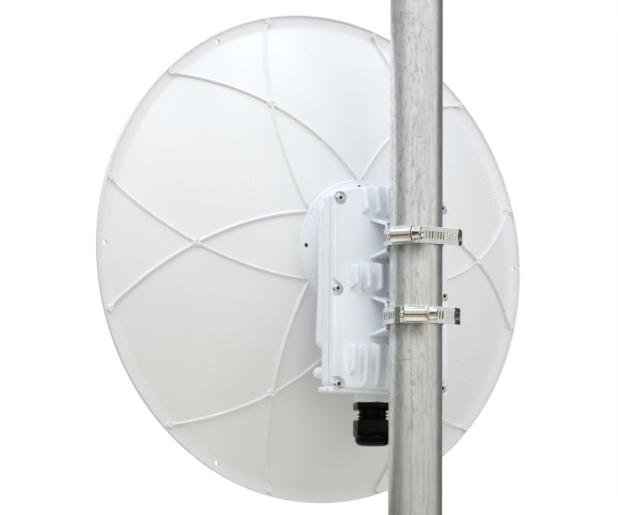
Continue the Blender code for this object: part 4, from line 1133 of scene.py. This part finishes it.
def make_cover_screws():
    seat = behind_rim(COVER_FACE - POCKET_DEPTH + GAP)
    spots = [(side * x, seat, above_axis(height)) for x, height in COVER_SCREWS for side in (1, -1)]
    head = pan_head(0.0037, 0.0026, 0.0014, 1)
    place = wire_outline("cover screw spots", spots, closed=False)
    made = grown("cover_screws", SPOTS,
                 {"Shape": head, "Spots": place, "Most Turn": 5.0, "Seed": 7, "Material": STEEL})
    nodes = [f"cover_screw_{place_word}_{side}" for place_word in ("top", "middle", "bottom")
             for side in ("left", "right")]
    keep(made, "stainless_steel", *nodes)
    drop(head, place)
    # Dark discs in the screws' sockets: painted shade.
    make_socket_shade_discs("cover_screw_sockets", spots, 0.0026, 0.0014, 1, 5.0, 7)


def make_vent_plug():
    """A round fluted plug that stands toward the dish on a narrower neck."""
    seat = BASE_FRONT - GAP
    shoulder = seat - VENT_NECK_LENGTH
    tip = seat - VENT_LENGTH
    profile = [(0.0, seat), (VENT_NECK_RADIUS, seat), (VENT_NECK_RADIUS, shoulder),
               (VENT_RADIUS - 0.0003, shoulder)]
    profile += [(VENT_RADIUS, shoulder - 0.0003 - (VENT_LENGTH - VENT_NECK_LENGTH - 0.0031) * step / 8)
                for step in range(9)]
    for step in range(1, 7):
        turn = math.pi / 2 * step / 6
        profile.append((VENT_RADIUS - 0.0026 * (1 - math.cos(turn)), tip + 0.0028 - 0.0028 * math.sin(turn)))
    profile.append((0.0, tip))
    middle = Vector((VENT_X, behind_rim(0.0), above_axis(VENT_HEIGHT)))
    body = lathe(profile, 72, tuple(middle), "Y")

    def fluted(x, y, z):
        across, up = x - middle.x, z - middle.z
        depth = y - middle.y
        if math.hypot(across, up) < VENT_RADIUS - 0.0004 or not tip + 0.0030 < depth < shoulder - 0.0006:
            return x, y, z
        scale = 1 - 0.045 * (0.5 - 0.5 * math.cos(18 * math.atan2(up, across)))
        return middle.x + across * scale, y, middle.z + up * scale

    keep(solid("pressure_vent", moved(body, fluted), PAINT), "housing_paint", "vent_plug")


# Cable gland

def hexagon(across_flats, turn, centre):
    return [on_circle(across_flats / math.sqrt(3), turn + math.radians(60 * corner), centre)
            for corner in range(6)]


def make_gland():
    centre = (0.0, behind_rim(GLAND_DEPTH))
    outer = GLAND_HEX_ACROSS_FLATS / math.sqrt(3)
    turn = math.radians(12)
    flange_top = above_axis(GLAND_BOSS_BOTTOM - GAP)
    neck_end = above_axis(GLAND_NUT_BOTTOM + 0.012)
    middle = (*centre, 0.0)

    def crown(low, high, low_drop, high_drop):
        """A turned blank that takes the corners off a hexagon's ends."""
        reach = outer + 0.0004
        profile = [(0.0, low), (outer - low_drop * 1.9, low), (reach, low + low_drop),
                   (reach, high - high_drop),
                   (outer - high_drop * 1.9, high), (0.0, high)]
        return solid("blank", lathe(profile, 96, middle, "Z", 0.01), BLACK)

    low = above_axis(GLAND_FLANGE_BOTTOM)
    body = solid("gland_body_hexagon",
                 slab(hexagon(GLAND_HEX_ACROSS_FLATS, turn, centre), low, flange_top, "Z", HAIR_EDGE), BLACK)
    carve(body, [crown(low, flange_top, 0.0010, 0.0006)], "INTERSECT", bevel=0.00025)
    keep(body, "black_plastic", "gland_body")
    neck = [(GLAND_BORE, neck_end), (GLAND_THREAD_ROOT, neck_end), (GLAND_THREAD_ROOT, low + 0.0005),
            (GLAND_BORE, low + 0.0005)]
    keep(solid("gland_neck", lathe(neck, 64, middle, "Z"), BLACK), "black_plastic")
    crest = GLAND_THREAD_CREST - GLAND_THREAD_ROOT
    section = wire_outline("thread section",
                           [(0.0003, -0.0009), (0.0, -0.0007), (-crest, -0.0002), (-crest, 0.0002),
                                              (0.0, 0.0007), (0.0003, 0.0009)])
    thread = grown("gland_thread", THREAD, {
        "Section": section, "Turns": 4.6, "Radius": GLAND_THREAD_ROOT, "Pitch": 0.0026,
        "Place": (*centre, neck_end + 0.0012), "Material": BLACK})
    keep(thread, "black_plastic")
    drop(section)

    low = above_axis(GLAND_NUT_BOTTOM)
    high = above_axis(GLAND_NUT_TOP)
    nut = solid("gland_dome_nut",
                slab(hexagon(GLAND_HEX_ACROSS_FLATS, turn, centre), low, high, "Z", HAIR_EDGE), BLACK)
    dome = [(0.0, high + 0.001), (outer - 0.0006, high + 0.001), (outer - 0.0006, high),
            (outer + 0.0004, high - 0.0006),
            (outer + 0.0004, above_axis(GLAND_NUT_SHOULDER))]
    dome.append((GLAND_DOME_RADIUS, above_axis(GLAND_NUT_SHOULDER - 0.0026)))
    for step in range(13):
        lean = math.radians(90 * step / 12)
        dome.append((GLAND_DOME_RADIUS - 0.0050 + 0.0050 * math.cos(lean), low + 0.0050 - 0.0050
                     * math.sin(lean)))
    dome.append((0.0, low))
    dome = solid("dome", lathe(dome, 96, middle, "Z", 0.01), BLACK)
    carve(nut, [dome], "INTERSECT")
    well = rounded([(0.0, high + 0.002), (GLAND_THREAD_CREST + GAP, high + 0.002),
                    (GLAND_THREAD_CREST + GAP, low + 0.006),
                    (GLAND_THREAD_RADIUS + GAP, low + 0.005), (GLAND_THREAD_RADIUS + GAP, low + 0.003),
                    (GLAND_MOUTH, low + 0.003), (GLAND_MOUTH + 0.0003, low - 0.001), (0.0, low - 0.001)], 0.0)
    carve(nut, [solid("well", lathe(well, 80, middle, "Z", 0.02), BLACK)], bevel=0.0003)
    keep(nut, "black_plastic", "gland_nut")
    seal = rounded([(0.0050, low + 0.0033), (GLAND_THREAD_RADIUS - 0.0002, low + 0.0033),
                    (GLAND_THREAD_RADIUS - 0.0002, neck_end - GAP), (0.0050, neck_end - GAP)], 0.0006)
    keep(solid("gland_rubber", lathe(seal, 64, middle, "Z"), RUBBER), "rubber", "gland_seal")


# Hose clamps

def around_pole(radius, turn):
    return radius * math.sin(turn), radius * math.cos(turn)


def band_path(housing_turn, tail_length, bend):
    """The band's inner face from above: round pole and saddle, over its own start, out to the tail."""
    inner = POLE_RADIUS + GAP
    outer = inner + BAND_THICKNESS + GAP
    start = housing_turn + math.radians(21)
    corner_x = SADDLE_TIP_WIDTH + GAP
    bar_front = behind_rim(SADDLE_TIP - SADDLE_BAR_DEPTH)
    bar_back = behind_rim(SADDLE_TIP)
    quarter = math.radians(90)

    def sweep(radius, first, last, steps):
        return [around_pole(radius, first + (last - first) * step / steps) for step in range(steps + 1)]

    path = sweep(inner, start, -quarter, 72)
    low_corner = (corner_x - 0.0002, bar_front - GAP)
    tangent = math.atan2(low_corner[0], -low_corner[1]) - math.acos(inner / math.hypot(*low_corner))
    right = [(corner_x + 0.0001, bar_back), (corner_x, bar_front), low_corner]
    path += [(-x, y) for x, y in right]
    path += sweep(inner, math.pi + tangent, math.pi - tangent, 16)
    path += list(reversed(right))
    path += sweep(inner, math.radians(92), start + math.radians(11), 10)
    path += sweep(outer, start + math.radians(5), TAIL_ANGLE, 40)
    x, y = path[-1]
    straight = tail_length - bend
    path.append((x - straight * math.cos(TAIL_ANGLE), y + straight * math.sin(TAIL_ANGLE)))
    steps = 8
    for step in range(steps):
        x, y = path[-1]
        turn = TAIL_ANGLE - TAIL_BEND_TURN * min(1.0, (step + 0.5) / 2)
        path.append((x - bend / steps * math.cos(turn), y + bend / steps * math.sin(turn)))
    return path


def band_cell(slotted):
    """One pitch of the band lying flat: X along it from 0, Y across it, Z outward from the pole."""
    half = SLOT_PITCH / 2
    wide = BAND_WIDTH / 2
    edge = 0.00022
    steps = 2 if slotted else 8
    columns = [half * (2 * step / steps - 1) for step in range(steps + 1)]
    rows = [-wide + edge, -SLOT_HEIGHT / 2 - 0.0006, 0.0, SLOT_HEIGHT / 2 + 0.0006, wide - edge]
    parts = []

    def strip(side_a, side_b):
        parts.append(skin([[(x, *pair) for x in columns] for pair in (side_a, side_b)], around=False,
                          capped=False))

    for z in (0.0, BAND_THICKNESS):
        for low, high in ((0, 1), (3, 4)) if slotted else ((0, 1), (1, 2), (2, 3), (3, 4)):
            strip((rows[low], z), (rows[high], z))
    for side in (-1, 1):
        profile = [(side * (wide - edge), 0.0), (side * (wide - edge * 0.3), edge * 0.3), (side * wide, edge),
                   (side * wide, BAND_THICKNESS - edge),
                   (side * (wide - edge * 0.3), BAND_THICKNESS - edge * 0.3),
                   (side * (wide - edge), BAND_THICKNESS)]
        for here, there in zip(profile, profile[1:]):
            strip(here, there)
    if slotted:
        lean = math.tan(math.radians(4))
        slot = box_outline(-SLOT_WIDTH / 2, SLOT_WIDTH / 2, -SLOT_HEIGHT / 2, SLOT_HEIGHT / 2, 0.0005, 3)
        slot = [(x + y * lean, y) for x, y in slot]
        parts.append(skin([[(x, y, z) for x, y in slot] for z in (0.0, BAND_THICKNESS)], capped=False))
        border = [(x, rows[1]) for x in columns] + [(half, 0.0)] + [(x, rows[3])
                                                                    for x in reversed(columns)] + [(-half,
                                                                                                    0.0)]
        parts += [web_round(slot, border, z) for z in (0.0, BAND_THICKNESS)]
    return solid("band cell", joined(*parts), STEEL)


def web_round(hole, border, z):
    """Flat faces between a slot and the edge of its cell."""
    def bearing(point):
        return math.atan2(point[1] / 5, point[0])

    hole = sorted(hole, key=bearing)
    border = sorted(border, key=bearing)
    points = [(x, y, z) for x, y in hole + border]

    def nearest(point):
        turns = [abs((bearing(other) - bearing(point) + math.pi) % (2 * math.pi) - math.pi)
                 for other in border]
        return len(hole) + turns.index(min(turns))

    faces = []
    for number, point in enumerate(hole):
        following = (number + 1) % len(hole)
        here, there = nearest(point), nearest(hole[following])
        faces.append((number, following, there))
        if here != there:
            faces.append((number, there, here))
    return points, faces


def close_ends(thing):
    """Puts faces over the open ends of a swept mesh."""
    work = bmesh.new()
    work.from_mesh(thing.data)
    bmesh.ops.holes_fill(work, edges=[edge for edge in work.edges if edge.is_boundary], sides=0)
    bmesh.ops.dissolve_degenerate(work, edges=work.edges, dist=1e-7)
    bmesh.ops.recalc_face_normals(work, faces=work.faces)
    work.to_mesh(thing.data)
    work.free()
    return thing


def path_length(path):
    return sum(math.dist(a, b) for a, b in zip(path, path[1:]))


def on_clamp(shape, height, turn):
    """Places a shape drawn along X with +Y outward onto its clamp."""
    place = Matrix.Translation((0.0, 0.0, above_axis(height - BAND_DROP))) @ Matrix.Rotation(-turn, 4, "Z")
    return moved(shape, lambda x, y, z: place @ Vector((x, y, z)))


def worm_housing(swell=0.0):
    """Cross-section of the clamp's screw housing: a round shell on a flat channel with rounded shoulders."""
    roof = BAND_ROOF
    shoulder = roof + 0.0006
    half = WORM_HOUSING_HALF - 0.0003 + swell
    section = [(WORM_SKIRT_FOOT, -half), (shoulder - 0.0002, -half), (shoulder, -half + 0.0002)]
    top = WORM_SHELL_TOP - 0.0002 + swell
    for step in range(29):
        turn = math.radians(-86 + 172 * step / 28)
        section.append((shoulder + (top - shoulder) * math.cos(turn) ** 0.75,
                        (WORM_SHELL_HALF + 0.0002 + swell) * math.sin(turn)))
    channel = BAND_WIDTH / 2 + GAP
    section += [(shoulder, half - 0.0002), (shoulder - 0.0002, half), (WORM_SKIRT_FOOT, half),
                (WORM_SKIRT_FOOT, channel),
                (roof, channel), (roof, -channel), (WORM_SKIRT_FOOT, -channel)]
    return section


def make_worm_drive(name, height, turn):
    levels = ((0.0, 0.0), (0.0001, 0.0003), (0.0010, 0.0003), (0.0014, 0.0))
    half = WORM_LENGTH / 2
    near = [(level - half, swell) for level, swell in levels]
    far = [(half - level, swell) for level, swell in reversed(levels)]
    levels = near + far
    rings = [[(x, depth, across) for depth, across in worm_housing(swell)] for x, swell in levels]
    outer = solid(f"{name}_worm_shell", on_clamp(skin(rings), height, turn), STEEL, 40)
    roof = BAND_ROOF + 0.0006
    tunnel = [(roof, -WORM_SHELL_HALF + 0.0012)]
    for step in range(17):
        lean = math.radians(-88 + 176 * step / 16)
        tunnel.append((roof + (WORM_SHELL_TOP - 0.0008 - roof) * math.cos(lean) ** 0.8,
                       (WORM_SHELL_HALF - 0.0012) * math.sin(lean)))
    tunnel.append((roof, WORM_SHELL_HALF - 0.0012))
    tool = solid("tunnel", on_clamp(slab(tunnel, -WORM_LENGTH, WORM_LENGTH, "X", HAIR_EDGE), height, turn),
                 STEEL)
    carve(outer, [tool], bevel=0.0002)
    keep(outer, "stainless_steel", f"{name}_screw_housing")

    end = -WORM_LENGTH / 2 - 0.0010
    collar_end = end - WORM_COLLAR_LENGTH
    tip = WORM_LENGTH / 2 + WORM_TIP_LENGTH
    profile = [(0.0, collar_end - 0.0004), (WORM_COLLAR_RADIUS - 0.0003, collar_end - 0.0001),
               (WORM_COLLAR_RADIUS, collar_end + 0.0003),
               (WORM_COLLAR_RADIUS, end - 0.0003), (WORM_COLLAR_RADIUS - 0.0003, end), (0.0019, end),
               (0.0017, end + 0.0014)]
    profile += [(0.0017, tip - 0.0042), (0.0015, tip - 0.0040)]
    for step in range(9):
        lean = math.radians(-62 + 152 * step / 8)
        profile.append((0.00225 * math.cos(lean), tip - 0.00225 + 0.00225 * math.sin(lean)))
    shaft = lathe(profile, 48, (0.0, WORM_CENTRE, 0.0), "X")
    screw = solid(f"{name}_worm_shaft", on_clamp(shaft, height, turn), STEEL)
    keep(screw, "stainless_steel", f"{name}_worm_screw")
    head_end = collar_end - WORM_HEAD_LENGTH
    sides = rounded(hexagon(WORM_HEAD_ACROSS_FLATS, math.radians(20), (WORM_CENTRE, 0.0)), 0.0022)
    head = solid(f"{name}_hexagon_head", slab(sides, head_end, collar_end + 0.0002, "X", HAIR_EDGE), STEEL)
    reach = WORM_HEAD_ACROSS_FLATS / math.sqrt(3)
    crown = [(0.0, head_end), (reach - 0.0020, head_end), (reach - 0.0008, head_end + 0.0004),
             (reach + 0.0002, head_end + 0.0015),
             (reach + 0.0002, collar_end + 0.001), (0.0, collar_end + 0.001)]
    crown = solid("crown", lathe(crown, 64, (0.0, WORM_CENTRE, 0.0), "X", 0.01), STEEL)
    carve(head, [crown], "INTERSECT")
    slot = slab(box_outline(WORM_CENTRE - 0.0006, WORM_CENTRE + 0.0006, -0.006, 0.006, 0.0001), head_end
                - 0.001, head_end + 0.0024,
                "X", HAIR_EDGE)
    dish = lathe([(0.0, head_end - 0.001), (0.0033, head_end - 0.001), (0.0027, head_end + 0.0012),
                  (0.0, head_end + 0.0012)], 40,
                 (0.0, WORM_CENTRE, 0.0), "X", 0.02)
    out = Matrix.Translation((0, WORM_CENTRE, 0))
    lean = out @ Matrix.Rotation(math.radians(35), 4, "X") @ Matrix.Translation((0, -WORM_CENTRE, 0))
    slot = moved(slot, lambda x, y, z: lean @ Vector((x, y, z)))
    carve(head, [solid("slot", slot, STEEL), solid("recess", dish, STEEL)], bevel=0.00015)
    head.data.transform(Matrix.Translation((0.0, 0.0, above_axis(height - BAND_DROP)))
                        @ Matrix.Rotation(-turn, 4, "Z"))
    keep(head, "stainless_steel")


def make_clamps():
    slotted = band_cell(True)
    plain = band_cell(False)
    for name, height, turn, tail, bend, corner in CLAMPS:
        path = band_path(turn, tail, bend)
        cells = int(path_length(path) / SLOT_PITCH)
        line = wire_outline("band path", path, closed=False)
        band = grown(f"{name}_slotted_band", BAND, {
            "Path": line, "Slotted Cell": slotted, "Plain Cell": plain, "Cells": cells, "First Slot": 1,
            "Last Slot": cells, "Pitch": SLOT_PITCH, "Height": above_axis(height - BAND_DROP),
            "Half Width": BAND_WIDTH / 2, "Corner": corner, "Material": STEEL}, 20)
        keep(close_ends(band), "stainless_steel", f"{name}_band")
        drop(line)
        make_worm_drive(name, height, turn)
    drop(slotted, plain)


# Pole

def make_pole():
    bore = POLE_RADIUS - POLE_WALL
    foot = rounded([(0.0, 0.0), (POLE_RADIUS, 0.0), (POLE_RADIUS, FOOT_THICKNESS - GAP),
                    (0.0, FOOT_THICKNESS - GAP)],
                   [0, 0.0008, 0.0003, 0])
    keep(solid("pole_foot_plug", lathe(foot, 128, (0, 0, 0), "Z"), ZINC), "galvanised_steel", "pole_foot")
    rings = 60
    tube = [(bore, FOOT_THICKNESS), (POLE_RADIUS - 0.0003, FOOT_THICKNESS),
            (POLE_RADIUS, FOOT_THICKNESS + 0.0003)]
    tube += [(POLE_RADIUS, FOOT_THICKNESS + (POLE_LENGTH - FOOT_THICKNESS) * step / rings)
             for step in range(1, rings)]
    tube += [(POLE_RADIUS, POLE_LENGTH - 0.0003), (POLE_RADIUS - 0.0003, POLE_LENGTH), (bore, POLE_LENGTH)]
    keep(solid("pole_pipe", lathe(tube, 128, (0, 0, 0), "Z"), ZINC), "galvanised_steel", "pole_tube")
    seat = POLE_LENGTH + GAP
    cap = rounded([(0.0, seat + CAP_THICKNESS), (POLE_RADIUS, seat + CAP_THICKNESS), (POLE_RADIUS, seat),
                   (bore - GAP, seat),
                   (bore - GAP - 0.0008, seat - 0.014), (0.0, seat - 0.014)],
                  [0, 0.0014, 0.0002, 0, 0.0005, 0])
    keep(solid("pole_end_cap", lathe(cap, 96, (0, 0, 0), "Z"), BLACK), "black_plastic", "pole_cap")


make_pole()
make_dish()
make_feed()
make_adaptor()
make_base()
make_cover()
make_cover_screws()
make_vent_plug()
make_gland()
make_clamps()


# Studio

def pale_floor(net):
    """A pale floor that fades into the white surround."""
    place = net.add("ShaderNodeTexCoord", None, None, "Object")
    x, y, _ = net.parts(place)
    far = net.limits((x * x + y * y).math("SQRT"), 1.0, 2.7)
    grain = noise(net, 0.35, 2.0)
    colour = net.blend(grain, (0.50, 0.49, 0.455, 1.0), (0.54, 0.53, 0.495, 1.0))
    near = principled(net, colour, 0.85, bump(net, grain, 0.00001))
    glow = net.add("ShaderNodeEmission", None, {"Color": (1.0, 1.0, 1.0, 1.0), "Strength": 1.02})
    return net.add("ShaderNodeMixShader", None, {0: far, 1: near, 2: glow})


def make_floor():
    circle = [on_circle(60.0, 2 * math.pi * step / 96) for step in range(96)]
    mesh = bpy.data.meshes.new("floor")
    mesh.from_pydata([(x, y, 0.0) for x, y in circle], [], [tuple(range(96))])
    mesh.materials.append(finish("pale floor", pale_floor))
    floor = bpy.data.objects.new("floor", mesh)
    floor.visible_diffuse = False
    floor.visible_glossy = False
    scene.collection.objects.link(floor)


def make_surround():
    """White behind the antenna. Its light: bright sky, thin dark horizon, warm ground and darker sides."""
    world = bpy.data.worlds.new("studio")
    world.use_nodes = True
    world.node_tree.nodes.clear()
    net = Net(world.node_tree)
    x, y, z = net.parts(net.add("ShaderNodeTexCoord", None, None, "Generated"))
    sky = net.add("ShaderNodeValToRGB", {"stops": (
        (0.00, (0.98, 0.98, 0.96)), (0.12, (0.90, 0.88, 0.84)), (0.22, (0.50, 0.42, 0.28)),
        (0.370, (0.54, 0.44, 0.27)),
        (0.392, (0.26, 0.22, 0.15)), (0.405, (0.02, 0.02, 0.02)), (0.470, (0.02, 0.02, 0.02)),
        (0.500, (0.62, 0.63, 0.62)),
        (0.545, (0.78, 0.78, 0.76)), (0.62, (0.68, 0.69, 0.71)), (0.70, (0.72, 0.74, 0.82)),
        (0.78, (1.10, 1.12, 1.18)),
        (0.83, (1.75, 1.77, 1.80)), (0.89, (1.10, 1.12, 1.16)), (0.94, (0.60, 0.64, 0.70)),
        (1.00, (1.40, 1.45, 1.55)))},
        {"Fac": z * 0.5 + 0.5})
    level = (x * x + y * y).math("SQRT").math("MAXIMUM", 0.001)
    ahead = (x * 0.506 + y * 0.863) / level
    right = (y * 0.506 - x * 0.863) / level
    angle = net.add("ShaderNodeMath", {"operation": "ARCTAN2"}, {0: right, 1: ahead})
    height = z.math("ABSOLUTE")
    left_wall = net.limits(angle, -2.80, -2.30) * (1.0 - net.limits(angle, -1.20, -0.72))
    left_wall = left_wall * (1.0 - net.limits(height, 0.20, 0.46)) * 0.83
    right_wall = net.limits(angle, 1.60, 1.85) * (1.0 - net.limits(angle, 2.82, 3.02))
    right_wall = right_wall * (1.0 - net.limits(height, 0.40, 0.85))
    away = net.limits(angle.math("ABSOLUTE"), 2.2, 2.8) * (1.0 - net.limits(height, 0.18, 0.34))
    sky = net.blend(away, sky, (0.60, 0.59, 0.56, 1.0))
    light = net.blend(left_wall.math("MAXIMUM", right_wall) * 0.96, sky, (0.035, 0.044, 0.036, 1.0))
    seen = net.add("ShaderNodeLightPath", None, None, "Is Camera Ray")
    colour = net.blend(seen, light, (1.0, 1.0, 1.0, 1.0))
    surface = net.add("ShaderNodeBackground", None, {"Color": colour, "Strength": 1.0})
    net.tree.links.new(surface.socket, net.tree.nodes.new("ShaderNodeOutputWorld").inputs["Surface"])
    scene.world = world


def add_light(name, place, target, size, power, colour, mirrored=True):
    lamp = bpy.data.lights.new(name, "AREA")
    lamp.shape = "RECTANGLE"
    lamp.size, lamp.size_y = size
    lamp.energy = power
    lamp.color = colour
    thing = bpy.data.objects.new(name, lamp)
    thing.location = place
    thing.rotation_euler = (Vector(target) - Vector(place)).to_track_quat("-Z", "Y").to_euler()
    thing.visible_camera = False
    thing.visible_glossy = mirrored
    scene.collection.objects.link(thing)


FOCAL_PIXELS = 1836.7
PHOTO_WIDTH = 618


def make_camera():
    """The photograph's own view, worked out from the dish, the housing and the pole."""
    azimuth, elevation, roll = math.radians(30.386), math.radians(7.234), math.radians(0.607)
    forward = Vector((-math.sin(azimuth) * math.cos(elevation), -math.cos(azimuth) * math.cos(elevation),
                      math.sin(elevation)))
    level = Vector((-math.cos(azimuth), math.sin(azimuth), 0.0))
    upright = level.cross(forward)
    right = math.cos(roll) * level + math.sin(roll) * upright
    up = -math.sin(roll) * level + math.cos(roll) * upright
    lens = bpy.data.cameras.new("camera")
    lens.sensor_width = 36.0
    lens.sensor_fit = "HORIZONTAL"
    lens.lens = 36.0 * FOCAL_PIXELS / PHOTO_WIDTH
    lens.clip_start = 0.05
    lens.clip_end = 200.0
    camera = bpy.data.objects.new("camera", lens)
    turn = Matrix((right, up, -forward)).transposed().to_4x4()
    camera.matrix_world = Matrix.Translation((0.7627, 1.1418, 0.1299)) @ turn
    scene.collection.objects.link(camera)
    scene.camera = camera


make_floor()
make_surround()
add_light("overhead softbox", (-0.15, 0.45, 1.8), (0.0, 0.0, 0.3), (0.8, 0.6), 1.9, (1.0, 0.96, 0.96))
add_light("front fill", (0.5, 3.2, 0.4), (0.0, 0.0, 0.3), (2.6, 2.0), 27.0, (0.868, 0.942, 0.985), False)
add_light("right fill", (-2.9, 0.7, 0.7), (0.0, 0.0, 0.3), (2.0, 1.6), 32.0, (0.80, 0.862, 0.975), False)
add_light("high left fill", (1.8, 0.9, 2.0), (0.0, 0.0, 0.3), (1.4, 1.2), 15.0, (0.82, 0.885, 1.0), False)
add_light("low left fill", (2.9, -0.3, 0.6), (0.0, 0.0, 0.3), (1.6, 1.6), 7.0, (0.79, 0.900, 1.0), False)
add_light("feed side fill", (0.0, -3.2, 0.9), (0.0, 0.0, 0.3), (2.4, 1.8), 9.0, (0.93, 0.96, 1.0), False)
make_camera()
scene.view_settings.view_transform = "Standard"
